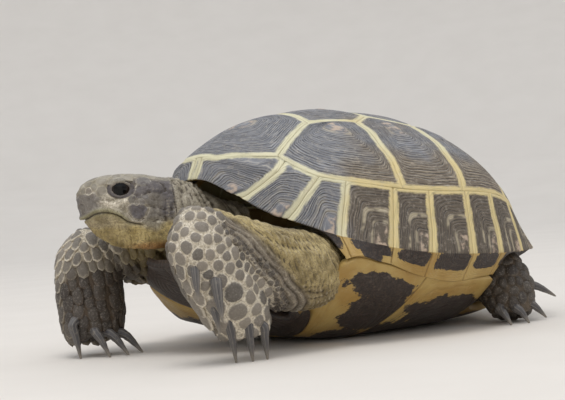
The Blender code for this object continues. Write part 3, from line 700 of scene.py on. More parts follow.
def seam_colour(look, warm, streak):
    """The pale new horn along the seams."""
    colour = look.mix(warm, (0.70, 0.66, 0.45), (0.70, 0.57, 0.28))
    return look.mix(look.step(streak, 0.45, 0.7) * 0.6, colour, (0.36, 0.32, 0.17))


def belly_colour(look, patches, streak, grain, edge):
    """Ochre horn with ragged dark blotches, for all below the keel."""
    ochre = look.mix(look.step(patches, 0.3, 0.7), (0.37, 0.225, 0.055), (0.47, 0.33, 0.11))
    ochre = look.mix(look.step(streak, 0.5, 0.8) * 0.5, ochre, (0.26, 0.145, 0.04))
    ochre = look.mix(look.step(edge, 0.5, 0.1) * 0.4, ochre, (0.16, 0.09, 0.03))
    ragged = look.value("blotch") + (look.noise(6, 5, 0.7) - 0.5) * 1.15 + (streak - 0.5) * 0.55
    dark = look.mix(look.step(grain, 0.4, 0.7), (0.018, 0.012, 0.01), (0.06, 0.038, 0.026))
    return look.mix(look.step(ragged, 0.42, 0.52), ochre, dark)


def ring_relief(growth, points):
    """Height of growth rings: each has a groove at its start, of its own depth."""
    near = np.abs(growth - np.round(growth))
    ring = np.stack([np.round(growth), 0 * growth, 0 * growth], -1).astype(np.int64)
    depth = GROOVE_DEPTH * (0.55 + 0.75 * hashed(ring, 5)) * (1 + 0.5 * noise(points, 7, 3))
    return -depth * np.exp(-((near / 0.17) ** 2)) * (growth > 0.4)


def seam_share(disc):
    """Radius on the disc of the seam over the marginals, on the way to these disc points."""
    angle = np.degrees(np.arctan2(np.abs(disc[..., 1]), -disc[..., 0]))
    return SEAM_SHARE - np.interp(angle, SEAM_RISE_ANGLES, SEAM_RISE)


def on_seam(disc):
    """True for a disc point that lies on the seam over the marginals."""
    return np.abs(np.hypot(disc[..., 0], disc[..., 1]) - seam_share(disc)) < 1e-6


def seam_disc(angle_degrees):
    """The disc point of that seam at an angle from the front."""
    way = np.array([-cos(radians(angle_degrees)), sin(radians(angle_degrees))])
    return way * seam_share(way)


def dome_scutes():
    """Corners and areola on the disc of each vertebral and costal, by its CAD node's name."""
    across = np.array([1, -1])
    seams = [plan_to_disc(x, y) for x, y in VERTEBRAL_SEAMS]
    corners = [plan_to_disc(x, y) for x, y in VERTEBRAL_CORNERS]
    feet = [seam_disc(angle) for angle in COSTAL_FOOT_ANGLES]
    ways = {
        1: [seam_disc(MARGINAL_ANGLES[0]), feet[0], seams[0]],
        2: [seams[0], corners[0], seams[1]],
        3: [seams[1], corners[1], seams[2]],
        4: [seams[2], corners[2], seams[3]],
        5: [seams[3], feet[4]],
    }
    scutes = {}
    for number, way in ways.items():
        tail = [seam_disc(180)] if number == 5 else []
        loop = way + tail + [point * across for point in reversed(way)]
        scutes[f"vertebral_{number}"] = (loop, np.array([np.mean(loop, 0)[0] + 0.05, 0]))
    loops = {
        1: [feet[0], seams[0], corners[0], feet[1]],
        2: [feet[1], corners[0], seams[1], corners[1], feet[2]],
        3: [feet[2], corners[1], seams[2], corners[2], feet[3]],
        4: [feet[3], corners[2], seams[3], feet[4]],
    }
    for number, loop in loops.items():
        areola = np.mean(loop, 0) * 0.3 + np.mean(loop[1:-1], 0) * 0.7
        for flip, word in ((across, "left"), (np.array([1, 1]), "right")):
            scutes[f"costal_{word}_{number}"] = ([point * flip for point in loop], areola * flip)
    return scutes


def scute_outline(corners):
    """The outline through these corners, close set; two corners on the seam are joined along it."""
    outline = []
    for start, end in zip(corners, corners[1:] + corners[:1]):
        arc = on_seam(start) and on_seam(end)
        count = max(4, round(np.linalg.norm(end - start) * DISC_RADIUS / OUTLINE_STEP))
        for i in range(count):
            point = start + (end - start) * i / count
            outline.append(point / np.linalg.norm(point) * seam_share(point) if arc else point)
    outline = np.array(outline)
    spots = np.column_stack([outline * DISC_RADIUS, np.zeros(len(outline))])
    wander = np.column_stack([noise(spots, 9, 1), noise(spots, 9, 2)]) * SCUTE_WANDER / DISC_RADIUS
    inward = seam_share(outline) - np.hypot(*outline.T)
    return outline + wander * np.clip(inward / 0.08, 0, 1)[:, None]


def edge_distance(rows):
    """Distance of each point of the rings from the last ring, the plate's outline."""
    gaps = [((row[:, None, :] - rows[-1][None, :, :]) ** 2).sum(-1) for row in rows]
    return np.stack([np.sqrt(gap).min(1) for gap in gaps])


def dome_scute(corners, areola):
    """One scute of the dome: close rings from its areola to its outline, with a side and a back."""
    outline = scute_outline(corners)
    soft = rounded_loop(outline, 30)
    share = np.linspace(0, 1, PLATE_RINGS + 1)[1:, None, None]
    sharp = step(share, 0.72, 1)
    disc = areola + (soft * (1 - sharp) + outline * sharp - areola) * share
    base = disc_surface(disc)
    normals = grid_normals(base, True)
    normals = normals * np.sign((normals * (base - SHELL_CENTRE)).sum(-1, keepdims=True))
    normals = unit(normals + np.roll(normals, 1, 1) + np.roll(normals, -1, 1))
    share = np.broadcast_to(share[..., 0], base.shape[:2])
    edge = edge_distance(base)
    growth = (share - AREOLA_SHARE) / (1 - AREOLA_SHARE) * DOME_GROWTH + 0.3 * noise(base, 6, 4)
    growth = np.where(share < AREOLA_SHARE, 0.0, growth)
    outer = base + normals * dome_relief(share, growth, edge, base)[..., None]
    wall = base[-1] - normals[-1] * SCUTE_THICKNESS
    around = np.cumsum(np.linalg.norm(np.diff(base[-1], axis=0, append=base[-1][:1]), axis=1))
    # Painted sky sheen: horn that faces upwards is painted cool slate; the front scutes' slate is their
    # own tone.
    slate = step(normals[..., 2], 0.5, 0.9) * 0.6 + step(base[..., 0], -25, -50) * 0.5
    values = {
        "growth": growth,
        "edge": edge,
        "around": share * around,
        "warmth": 1 - slate,
        "areola": step(share, AREOLA_SHARE + 0.16, AREOLA_SHARE - 0.05),
        "cream": bell(growth - 2.5, 1.2 * noise(base, 12, 8), 0.6) * 0.6,
        "under": np.zeros_like(share),
        "blotch": np.zeros_like(share),
    }
    return closed_scute(outer, wall, values)


def dome_relief(share, growth, edge, base):
    """How far a scute's surface stands out: its swell, rings, areola and the dip to its seams."""
    height = SCUTE_SWELL * (1 - share**2) + ring_relief(growth, base) * step(edge, 0.8, 3.0)
    height += 0.25 * noise(base, 13, 6) + 0.10 * noise(base, 2.2, 7) * (share < AREOLA_SHARE + 0.02)
    height += 0.22 * step(share, AREOLA_SHARE + 0.02, AREOLA_SHARE - 0.02)
    return height - SEAM_DEPTH * np.exp(-edge / 0.6)


def closed_scute(outer, wall, values):
    """The rings and the wall's foot as one closed shape, with a point amid its face and its back."""
    count = len(wall)
    rows = np.concatenate([outer, wall[None]])
    flat = {name: np.append(value.ravel(), np.zeros(count + 2)) for name, value in values.items()}
    points = np.concatenate([rows.reshape(-1, 3), outer[0].mean(0)[None], wall.mean(0)[None]])
    faces = grid_faces(len(rows), count, True).tolist()
    centre, back, last = len(points) - 2, len(points) - 1, (len(rows) - 1) * count
    for name in ("areola", "warmth", "edge"):
        flat[name][centre] = values[name][0].mean()
    for k in range(count):
        faces.append((centre, (k + 1) % count, k))
        faces.append((back, last + k, last + (k + 1) % count))
    shape = Pile()
    shape.add(points, faces, **flat)
    return shape


def section(turn):
    """Angle from the front and side, left as -1, for a signed turn round the rim; left is negative."""
    turn = (turn + pi) % (2 * pi) - pi
    return np.abs(turn), np.where(turn < 0, -1.0, 1.0)


def marginal_shield(shape, ends, tops, areola_u):
    """One marginal, from the seam over the keel to its inner edge, added to a pile."""
    widest = max(abs(ends[1] - ends[0]), abs(tops[1] - tops[0])) * GIRTH
    columns = max(8, round(widest / COLUMN_WIDTH))
    levels = np.append(np.linspace(0, 1, TOP_ROWS), np.linspace(1, 2, UNDERSIDE_ROWS)[1:])
    u, level = np.broadcast_arrays(np.linspace(0, 1, columns + 1)[None, :], levels[:, None])
    drop = np.minimum(level, 1)
    start = tops[0] + (ends[0] - tops[0]) * drop
    end = tops[1] + (ends[1] - tops[1]) * drop
    turn = start + (end - start) * u
    angle, s, base = marginal_base(turn, level)
    leaning = ((tops[0] - ends[0]) * (1 - u) + (tops[1] - ends[1]) * u) * GIRTH / MARGINAL_HEIGHT
    width = np.abs(end - start) * GIRTH / np.sqrt(1 + (leaning * (level < 1)) ** 2)
    aside = np.minimum(u, 1 - u) * width
    normals = marginal_normals(base, turn, aside)
    tall = np.linalg.norm(np.diff(base, axis=0), axis=-1)
    down = np.concatenate([np.zeros((1, columns + 1)), np.cumsum(tall, axis=0)])
    edge = np.minimum(aside, np.minimum(down, down[-1] - down) + 0.6)
    share = square_rings(u, level, areola_u)
    growth = (share - MARGINAL_AREOLA) / (1 - MARGINAL_AREOLA) * MARGINAL_GROWTH
    growth = np.where(share < MARGINAL_AREOLA, 0.0, growth + 0.45 * noise(base, 4, 12))
    top = step(s, 1.05, 0.98)
    height = ring_relief(growth, base) * (0.35 + 1.05 * top) * step(edge, 0.8, 2.6)
    height += 0.25 * noise(base, 9, 13) - SEAM_DEPTH * np.exp(-edge / 0.6)
    height += 0.35 * step(share, 0.2, 0.12)
    outer = base + normals * height[..., None]
    rows = np.concatenate([outer, inner_rows(base, normals, levels)])
    values = marginal_marks(share, u, s, np.degrees(angle), top)
    values.update(growth=growth, edge=edge, around=(u * width - down) * 0.7)
    hidden = np.zeros((len(INNER_ROWS), columns + 1))
    flat = {name: np.append(value, hidden + (name == "under")) for name, value in values.items()}
    shape.add(rows.reshape(-1, 3), marginal_faces(len(rows), columns, levels), **flat)


def marginal_base(turn, level):
    """Angle, share of the way down and place of a marginal's points; its seams wander a little."""
    rise = np.interp(np.degrees(section(turn)[0]), SEAM_RISE_ANGLES, SEAM_RISE)
    s = np.where(level < 1, level * (1 + rise) - rise, level)
    spots = np.stack([turn * 85, s * 22, 0 * s], -1)
    angle, side = section(turn + 0.006 * noise(spots, 7, 11) * np.sin(pi * level / 2))
    base = marginal_point(angle, s, side)
    keel = bell(s, 1, KEEL_ROUNDING)[..., None]
    return angle, s, base + (rounded_rim(base) - base) * keel


def marginal_normals(base, turn, aside):
    """Outward normals; beside the seams they stand square to the rim, so that neighbours meet."""
    normals = grid_normals(base, False)
    centre = base.mean((0, 1)) * [0.8, 0.8, 1]
    if (normals * (base - centre)).sum(-1).mean() < 0:
        normals = -normals
    rim_way = np.stack([HALF_LENGTH * np.sin(turn), HALF_WIDTH * np.cos(turn), 0 * turn], -1)
    square = unit(np.cross(np.gradient(base, axis=0), rim_way))
    if (square * normals).sum(-1).mean() < 0:
        square = -square
    beside = np.exp(-aside / 1.5)[..., None]
    return unit(normals * (1 - beside) + square * beside)


def square_rings(u, level, areola_u):
    """0 at a marginal's areola and 1 at its outline, in nearly square rings."""
    across = np.abs(u - areola_u) / np.where(u < areola_u, areola_u, 1 - areola_u)
    reach = np.where(level < AREOLA_UP, AREOLA_UP, AREOLA_DOWN)
    upright = np.abs(level - AREOLA_UP) / reach
    return (across**7 + upright**7) ** (1 / 7)


def inner_rows(base, normals, levels):
    """Rows behind a marginal's surface, drawn together where its rim is a thin wedge."""
    wall = np.linalg.norm(base[-1] - base[0], axis=-1)
    hollow = np.clip((wall - SOLID_WEDGE) / (HOLLOW_WEDGE - SOLID_WEDGE), 0, 1)[:, None]
    rows = []
    for number, (at, depth) in enumerate(INNER_ROWS, 1):
        row = np.abs(levels - at).argmin()
        flat = base[-1] + (base[0] - base[-1]) * number / (len(INNER_ROWS) + 1)
        rows.append(flat + (base[row] - normals[row] * depth - flat) * hollow)
    return np.array(rows)


def marginal_marks(share, u, s, degrees, top):
    """The painted values that give a marginal its colours."""
    pale = bell(share, 0.52, 0.04) + 0.8 * bell(share, 0.3, 0.035)
    pale = 0.8 * pale * step(degrees, 40, 60) + 0.25 * pale
    dark = np.exp(-(((u - 0.55) / 0.44) ** 4 + ((s - 1.3) / 0.34) ** 4))
    first_of_bridge = step(degrees, 64, 60) * step(s, 1.1, 1.3) * step(degrees, 53, 56)
    return {
        "warmth": step(degrees, 42, 60) * step(degrees, 150, 135) * 0.95,
        "areola": 0.75 * step(share, 0.3, 0.1),
        "cream": pale * top,
        "under": 1 - top,
        "blotch": np.maximum(dark, first_of_bridge),
        "dull": step(degrees, 46, 58),
    }


def marginal_faces(total, columns, levels):
    """Quads round a marginal's rows, and its two ends closed by strips between face and back."""
    count = columns + 1
    faces = []
    for i in range(total):
        here, below = i * count, (i + 1) % total * count
        for k in range(columns):
            faces.append((here + k, here + k + 1, below + k + 1, below + k))
    behind = (total - 1 - np.digitize(levels, INNER_HALFWAY)).tolist()
    for column in (0, columns):
        for i, (near, far) in enumerate(zip(behind, behind[1:])):
            corner = near * count + column
            faces.append((corner, i * count + column, (i + 1) * count + column))
            if near != far:
                faces.append((corner, (i + 1) * count + column, far * count + column))
    return faces


def rounded_rim(base):
    """The grid averaged along its first axis, for the keel's edge."""
    padded = np.concatenate([base[:3], base, base[-3:]])
    return sum(padded[i:i + len(base)] for i in range(7)) / 7


def plastron_plate(name, front_mid, front_edge, rear_mid, rear_edge, side):
    """One plate of the plastron, from the midline to its edge."""
    length = (rear_mid - front_mid + rear_edge - front_edge) / 2
    rows = max(PLATE_FEWEST_ROWS, round(length / PLATE_ROW))
    shares = np.linspace(0, 1, rows + 1), np.linspace(0, 1, PLATE_COLUMNS + 1)
    i, j = np.meshgrid(*shares, indexing="ij")
    q = 1 - (1 - j) ** 1.3
    front = front_mid + (front_edge - front_mid) * q
    rear = rear_mid + (rear_edge - rear_mid) * q
    x = front + (rear - front) * i
    base = plastron_point(x, side * q)
    base[..., 1] = side * np.maximum(side * base[..., 1], 0)
    normals = grid_normals(base, False)
    normals = np.where(normals[..., 2:].mean() > 0, -normals, normals)
    edge = np.minimum(np.minimum(i, 1 - i) * np.abs(rear - front), np.abs(base[..., 1]) + 0.2)
    edge = np.minimum(edge, np.linalg.norm(base - base[:, -1:], axis=-1) + 0.6)
    share = (np.abs(i * 2 - 1) ** 5 + np.abs(j * 1.15 - 0.15) ** 5) ** 0.2
    growth = share * PLATE_GROWTH + 0.3 * noise(base, 6, 21)
    height = ring_relief(growth, base) * 0.6 - 0.35 * np.exp(-edge / 0.5)
    height = height + 0.25 * noise(base, 9, 23)
    outer = base + normals * (height * step(base[..., 2], 0.0, 1.2))[..., None]
    outer[..., 2] = np.maximum(outer[..., 2], 0)
    back = base - normals * PLASTRON_THICKNESS
    back[..., 1] = side * np.maximum(side * back[..., 1], 0)
    values = {
        "growth": growth, "edge": edge, "around": x * 0.8, "warmth": 1.0 + 0 * x, "areola": 0 * x,
        "cream": 0 * x, "under": 1.0 + 0 * x, "blotch": blotches(name, x, q),
    }
    doubled = {title: np.concatenate([value.ravel()] * 2) for title, value in values.items()}
    points = np.concatenate([outer.reshape(-1, 3), back.reshape(-1, 3)])
    shape = Pile()
    shape.add(points, plate_faces(rows + 1, PLATE_COLUMNS + 1), **doubled)
    return shape


def blotches(name, x, q):
    """1 in the dark blotches of a plate, fading at their edges."""
    dark = 0
    for cx, cq, rx, rq in BLOTCHES[name]:
        far = ((x - cx) / rx) ** 2 + ((q - cq) / rq) ** 2
        dark = np.maximum(dark, np.exp(-(far**1.4) * 0.7))
    return dark


def plate_faces(rows, columns):
    """Faces of a sheet's two sides and of the wall round it."""
    size, last = rows * columns, columns - 1
    faces = grid_faces(rows, columns, False).tolist()
    faces += [tuple(reversed(face)) for face in grid_faces(rows, columns, False, size).tolist()]
    border = [*range(columns)] + [r * columns + last for r in range(1, rows)]
    border += [(rows - 1) * columns + k for k in range(last - 1, -1, -1)]
    border += [r * columns for r in range(rows - 2, 0, -1)]
    for a, b in zip(border, border[1:] + border[:1]):
        faces.append((b, a, a + size, b + size))
    return faces


def build_shell():
    """A shield of horn for every plate of the shell."""
    look = horn_look()
    for node, (corners, areola) in dome_scutes().items():
        place_shield(node, dome_scute(corners, areola), look, f"{node}_shield")
    for side, word in ((-1, "left"), (1, "right")):
        for place, (first, last) in MARGINAL_SETS.items():
            shape = Pile()
            for number in range(first, last):
                ends = np.radians(MARGINAL_ANGLES[number:number + 2]) * side
                tops = np.radians(MARGINAL_TOP_ANGLES[number:number + 2]) * side
                marginal_shield(shape, ends, tops, MARGINAL_AREOLA_ACROSS)
            node = f"marginals_{word}_{place}"
            place_shield(node, shape, look, f"{node}_shields")
        for name, seams in PLASTRON_SEAMS.items():
            node = f"{name}_{word}"
            place_shield(node, plastron_plate(name, *seams, side), look, f"{node}_shield")
    first, last = MARGINAL_ANGLES[0], MARGINAL_ANGLES[-1]
    for node, start, end in (("nuchal", -first, first), ("supracaudal", last, 360 - last)):
        shape = Pile()
        ends = np.radians((start, end))
        marginal_shield(shape, ends, ends, MIDDLE)
        place_shield(node, shape, look, f"{node}_shield")


def place_shield(node, shape, look, name):
    place_piece(name, shape.mesh(name), look, [node])


# ---------------------------------------------------------------- flesh

def stations_at(stations, t):
    """The stations at these shares of the way along, on a smooth curve through them all."""
    table = np.array(stations, float)
    at = t * (len(table) - 1)
    smooth = np.stack([curve_value(np.arange(len(table)), table[:, k], at) for k in range(5)], -1)
    index = np.clip(np.floor(at).astype(int), 0, len(table) - 2)
    straight = table[index] + (table[index + 1] - table[index]) * (at - index)[:, None]
    ends = ((at < 1) | (at > len(table) - 2))[:, None]
    return np.where(ends, (smooth + straight) / 2, smooth)


def flesh_grid(stations, across, count=10, sides=14):
    """Oval rings square to a smooth centre line; `across` is the way their width points."""
    samples = stations_at(stations, np.linspace(0, 1, count))
    centres = samples[:, :3]
    forward = unit(np.gradient(centres, axis=0))
    wide = unit(across - forward * (forward @ across)[:, None])
    tall = np.cross(forward, wide)
    turn = 2 * pi * np.arange(sides)[None, :, None] / sides
    reach = samples[:, None, 3:4] * np.cos(turn) * wide[:, None]
    return centres[:, None] + reach + samples[:, None, 4:5] * np.sin(turn) * tall[:, None]


def dense_grid(grid, rows, columns):
    """A grid of closed rings, resampled along smooth curves."""
    count, sides = grid.shape[:2]
    down = np.linspace(0, count - 1, rows)
    along = [[curve_value(np.arange(count), grid[:, j, k], down) for k in range(3)] for j in range(sides)]
    tall = np.stack(along).transpose(2, 0, 1)
    padded = np.concatenate([tall[:, -2:], tall, tall[:, :3]], 1)
    at = np.arange(columns) * sides / columns + 2
    knots = np.arange(sides + 5)
    rings = [[curve_value(knots, padded[i, :, k], at) for k in range(3)] for i in range(rows)]
    return np.stack(rings).transpose(0, 2, 1)


def head_spot(along, out, height):
    """The place of a head measure: along the axis from the nape, out to the left, and up."""
    along, out, height = np.broadcast_arrays(along, out, height)
    level = along[..., None] * HEAD_FORWARD + out[..., None] * HEAD_LEFT
    return level + np.stack([0 * height + NAPE[0], 0 * height + NAPE[1], height], -1)


def head_measures(points):
    """Along, out to the left and height of points, as head measures."""
    offset = points - np.array(NAPE)
    return offset @ HEAD_FORWARD, offset @ HEAD_LEFT, points[:, 2]


def head_grid():
    """Closed cross sections of head and jaw together, from inside the neck to the beak."""
    along = np.append(np.linspace(-4, 37.4, 84), [37.6, 37.65])[:, None]
    turn = 2 * pi * np.arange(80)[None, :] / 80
    shrink = np.append(np.ones(84), [0.8, 0.4])[:, None]
    width = curve_value(HEAD_ALONG, HEAD_HALF_WIDTH, along) * shrink
    top = curve_value(HEAD_ALONG, CROWN_HEIGHT, along)
    bottom = curve_value(HEAD_ALONG, THROAT_HEIGHT, along)
    out = width * np.abs(np.cos(turn)) ** 0.8 * np.sign(np.cos(turn))
    up = (top - bottom) / 2 * shrink * np.abs(np.sin(turn)) ** 0.85 * np.sign(np.sin(turn))
    return head_spot(along + 0 * out, out, (top + bottom) / 2 + up)


def core_grid():
    """The hidden middle of the body, which joins neck, legs and tail."""
    turn = np.linspace(0.02, pi - 0.02, 24)[:, None]
    round_ = 2 * pi * np.arange(40)[None, :] / 40
    ring = [-8 - 50 * np.cos(turn) + 0 * round_, 30 * np.sin(turn) * np.cos(round_)]
    return np.stack(ring + [34 + 17 * np.sin(turn) * np.sin(round_)], -1)


def flesh_parts():
    """Every length of flesh as a grid of rings, by name."""
    across = np.array([0, 1, 0.2])
    parts = {"core": core_grid(), "head": head_grid()}
    level = np.array([0.0, 1, 0])
    parts["neck"] = dense_grid(flesh_grid(NECK, level, 9, 16), 70, 80)
    parts["tail"] = dense_grid(flesh_grid(TAIL, level, 8, 10), 60, 40)
    for name, lengths in LEGS.items():
        for number, stations in enumerate(lengths):
            grid = dense_grid(flesh_grid(stations, across), 90, 90)
            grid[..., 2] = np.maximum(grid[..., 2], 0)
            parts[f"{name}_{number}"] = grid
    return parts


def solid_grid(pile, grid, **values):
    """Adds the rings as one closed solid, its ends closed round their middles."""
    rows, columns = grid.shape[:2]
    points = np.concatenate([grid.reshape(-1, 3), grid[0].mean(0)[None], grid[-1].mean(0)[None]])
    faces = grid_faces(rows, columns, True).tolist()
    first, last, end = rows * columns, rows * columns + 1, (rows - 1) * columns
    for k in range(columns):
        faces.append((first, (k + 1) % columns, k))
        faces.append((last, end + k, end + (k + 1) % columns))
    pile.add(points, faces, **values)


def voxel_union(parts):
    """One mesh round all the lengths of flesh."""
    shape = bmesh.new()
    for name, grid in parts.items():
        pile = Pile()
        solid_grid(pile, grid)
        length = pile.mesh(name)
        face_outward(length)
        shape.from_mesh(length)
    whole = bpy.data.meshes.new("flesh")
    shape.to_mesh(whole)
    shape.free()
    maker = put_in_scene("flesh maker", whole)
    remesh = maker.modifiers.new("one skin", "REMESH")
    remesh.mode, remesh.voxel_size, remesh.adaptivity = "VOXEL", SKIN_VOXEL * MM, 0
    graph = bpy.context.evaluated_depsgraph_get()
    made = bpy.data.meshes.new_from_object(maker.evaluated_get(graph))
    bpy.data.objects.remove(maker)
    return made


def mesh_edges(mesh):
    edges = np.empty(len(mesh.edges) * 2, np.int32)
    mesh.edges.foreach_get("vertices", edges)
    return edges.reshape(-1, 2)


def smoothed(points, edges, times, weight=0.5):
    """Points drawn towards the mean of their neighbours."""
    count = len(points)
    total = np.bincount(edges.ravel(), minlength=count)[:, None]
    for _ in range(times):
        near = np.stack([
            np.bincount(edges[:, 0], points[edges[:, 1], k], count)
            + np.bincount(edges[:, 1], points[edges[:, 0], k], count) for k in range(points.shape[1])
        ], -1)
        points = points + (near / total - points) * weight
    return points


def vertex_normals(mesh):
    normals = np.empty(len(mesh.vertices) * 3, np.float32)
    mesh.vertices.foreach_get("normal", normals)
    return normals.reshape(-1, 3).astype(float)


def homes(points, parts):
    """Which length of flesh each point belongs to, how far along it and round it, 0 to 1."""
    names = list(parts)
    chunks, marks = [], []
    for number, name in enumerate(names):
        rows, columns = parts[name].shape[:2]
        t, u = np.meshgrid(np.linspace(0, 1, rows), np.arange(columns) / columns, indexing="ij")
        chunks.append(parts[name].reshape(-1, 3))
        marks.append(np.stack([np.full(rows * columns, number), t.ravel(), u.ravel()], -1))
    tree = near_points(np.concatenate(chunks))
    found = np.concatenate(marks)[[tree.find(point)[1] for point in points.tolist()]]
    return np.array(names)[found[:, 0].astype(int)], found[:, 1], found[:, 2]


def ridged(points, size, seed):
    """Noise with sharp valleys at 0 and broad tops at 1."""
    return np.minimum(np.abs(noise(points, size, seed)) * 2.2, 1)


def near_line(x, y, line, reach):
    """1 on a line through these points, falling to 0 at `reach`."""
    best = np.full(len(x), 1e9)
    for (ax, ay), (bx, by) in zip(line[:-1], line[1:]):
        length = (bx - ax) ** 2 + (by - ay) ** 2
        t = np.clip(((x - ax) * (bx - ax) + (y - ay) * (by - ay)) / length, 0, 1)
        best = np.minimum(best, np.hypot(x - ax - t * (bx - ax), y - ay - t * (by - ay)))
    return np.exp(-((best / reach) ** 2))


def inside(x, y, outline):
    """True for the points within the polygon."""
    within = np.zeros(len(x), bool)
    for (ax, ay), (bx, by) in zip(outline, outline[1:] + outline[:1]):
        crosses = (ay > y) != (by > y)
        at = ax + (y - ay) / np.where(by == ay, 1e-9, by - ay) * (bx - ax)
        within ^= crosses & (x < at)
    return within


def eye_oval(along, height):
    """Distance from the middle of the lids' opening: 1 at its edge, more outside."""
    x = (along - EYE_ALONG - 0.2) / 4.0
    rise = height - EYE_HEIGHT + 0.1 - 0.035 * (along - EYE_ALONG)
    y = rise / np.where(height > EYE_HEIGHT, 2.55, 2.8)
    return (np.abs(x) ** 1.8 + np.abs(y) ** 2) ** (1 / 1.9)


def carve_head(points, normals, head_share):
    """Mouth, nostrils, brow, cheek, creases and lids, as shifts of the points."""
    along, out, height = head_measures(points)
    lateral = step(np.abs(out), 2.0, 4.5)
    below = height - curve_value(MOUTH_ALONG, MOUTH_HEIGHT, along)
    gape = step(along, 9, 13)
    push = -1.25 * bell(below, 0, 0.42) * gape
    push += 0.5 * bell(below, 1.5, 1.0) * gape
    push -= 0.35 * step(below, 0.4, -0.4) * step(below, -9, -5) * gape * step(along, 16, 22)
    push += head_side(along, height) * lateral
    side = np.where(out > 0, 1.0, -1.0)[:, None]
    nostril = head_spot(NOSTRIL_ALONG, 0, NOSTRIL_HEIGHT)[None] + side * HEAD_LEFT * NOSTRIL_OUT
    reach = np.linalg.norm(points - nostril, axis=1)
    push += 0.35 * bell(reach, 1.5, 0.6) - 1.1 * bell(reach, 0, 0.8)
    push += 0.5 * step(along, 32, 36) * step(below, 3, 1) * step(below, -0.2, 0.4)
    push += head_creases(along, out, height, below, lateral)
    points = points + normals * (push * head_share)[:, None]
    return sculpt_eyes(points, head_share)


def head_side(along, height):
    """Brow, cheek and plates of the head's side, outwards."""
    push = 0.55 * near_line(along, height, BROW, 1.1)
    push += 0.55 * np.exp(-(((along - 6) / 6) ** 2 + ((height - 70) / 3.6) ** 2))
    push += 0.6 * near_line(along, height, CHEEK, 1.3)
    push -= 0.5 * near_line(along, height, NOSE_CREASE, 0.5)
    for plate, depth in ((TYMPANUM, 0.45), (TEMPLE, 0.4)):
        push -= depth * near_line(along, height, plate + plate[:1], depth)
    return push + 0.3 * (inside(along, height, TYMPANUM) | inside(along, height, TEMPLE))


def head_creases(along, out, height, below, lateral):
    """Wrinkles of throat, chin, cheek and nape, mostly inwards."""
    wrinkle = ridged(np.stack([along, height * 0.16, out * 0.4], -1), 1.5, 31)
    push = -0.45 * (1 - wrinkle) * step(height, 58, 54) * step(below, -1.5, -4) * step(along, 35, 27)
    chin = ridged(np.stack([along * 0.35, height, out * 0.5], -1), 1.7, 35)
    push -= 0.45 * (1 - chin) * step(below, -1.2, -2.5) * step(along, 4, 10)
    slanted = np.stack([along * 0.5 + height * 0.2, height - along * 0.35, out * 0.5], -1)
    fine = ridged(np.stack([along * 0.8, height * 1.2, out * 0.5], -1), 1.5, 37)
    creased = 0.6 * (1 - ridged(slanted, 2.6, 36)) + 0.25 * (1 - fine)
    flank = np.maximum(step(along, 15, 12), 0.7 * step(along, 21, 24) * step(height, 74, 71))
    push -= creased * lateral * flank * step(below, 0.5, 2) * step(height, 75, 73)
    fold = ridged(np.stack([along - height * 0.1, height * 0.1, out * 0.15], -1), 1.9, 33)
    push += (0.9 * fold - 0.7) * step(along, 2.5, -3) * step(along, -24, -10)
    return push + 0.3 * near_line(along, height, THROAT_FOLD, 0.9)


def sculpt_eyes(points, head_share):
    """Lays thick lids over each eyeball and sinks their opening below it."""
    _, out, _ = head_measures(points)
    for side in (1, -1):
        centre = head_spot(EYE_ALONG, side * EYE_OUT, EYE_HEIGHT)
        offset = points - centre
        reach = np.maximum(np.linalg.norm(offset, axis=1), 0.5)
        along, _, height = head_measures(centre + offset * ((EYE_RADIUS + 0.4) / reach)[:, None])
        here = head_share * (side * out > 2.5)
        oval = eye_oval(along, height)
        lid = EYE_RADIUS + 0.34 + 0.5 * bell(oval, 1.2, 0.14)
        lid = lid - 0.55 * bell(oval, 1.42, 0.08) + 0.35 * bell(oval, 1.6, 0.12)
        goal = np.where(oval < 1.0, EYE_RADIUS - 1.0, lid)
        blend = step(reach, 7.4, 5.6) * step(oval, 2.6, 1.7) * here
        blend = np.where((oval < 1.0) & (here > 0) & (reach < 6.5), 1.0, blend)
        moved = centre + offset * (goal / reach)[:, None]
        points = points + (moved - points) * blend[:, None]
    return points


def arm_bend(points):
    """Distance and direction from the shoulder about which the upper arm's folds curve."""
    x, z = points[:, 0] - SHOULDER[0], points[:, 2] - SHOULDER[1]
    return np.hypot(x, z), np.arctan2(z, x)


def arm_slant(points):
    """Signed distance from the crease between a foreleg's scales and its folded upper arm."""
    x, z = points[:, 0] - CREASE[0], points[:, 2] - CREASE[1]
    return x * ACROSS_CREASE[0] + z * ACROSS_CREASE[1]


def limb_relief(points, part):
    """Wrinkles and folds of the legs, neck and tail, outwards in millimetres."""
    push = 0.3 * noise(points, 6, 41)
    legs = np.char.find(part.astype(str), "leg") >= 0
    push += 0.35 * (ridged(points, 3.4, 45) - 0.5) * legs
    arms = np.isin(part, ("front_leg_left_0", "front_leg_right_0"))
    bend, swing = arm_bend(points)
    drape = np.stack([bend, swing * 7, points[:, 1] * 0.12], -1)
    slant = arm_slant(points)
    ridges = arms * step(slant, -1.5, 0.5) * step(slant, 11, 8)
    wave = slant + 1.1 * noise(points, 7, 44)
    push += ridges * (1.7 * np.abs(np.sin(pi * wave / 2.7)) ** 0.7 - 1.5)
    thigh = arms * step(slant, 8, 11)
    streak = points[:, 0] + 0.35 * points[:, 2] + 1.6 * noise(points, 6, 43) + 0.4 * noise(points, 2, 48)
    push += thigh * (1.2 * ridged(drape, 5.5, 42) + 1.1 * np.abs(np.sin(pi * streak / 2.5)) - 1.9)
    low = thigh * step(points[:, 2] + 0.25 * (points[:, 0] + 80), 31, 26)
    push += low * (1.3 * np.abs(np.sin(pi * (bend + 1.3 * noise(points, 6, 47)) / 2.9)) - 0.7)
    push -= arms * step(points[:, 2], 46, 57) * step(points[:, 0], -118, -104) * 2.4
    hoop = np.stack([points[:, 0] + 0.3 * points[:, 1], points[:, 1] * 0.15, points[:, 2] * 0.12], -1)
    return push + (part == "neck") * (1.5 * ridged(hoop, 2.5, 46) - 1.0)


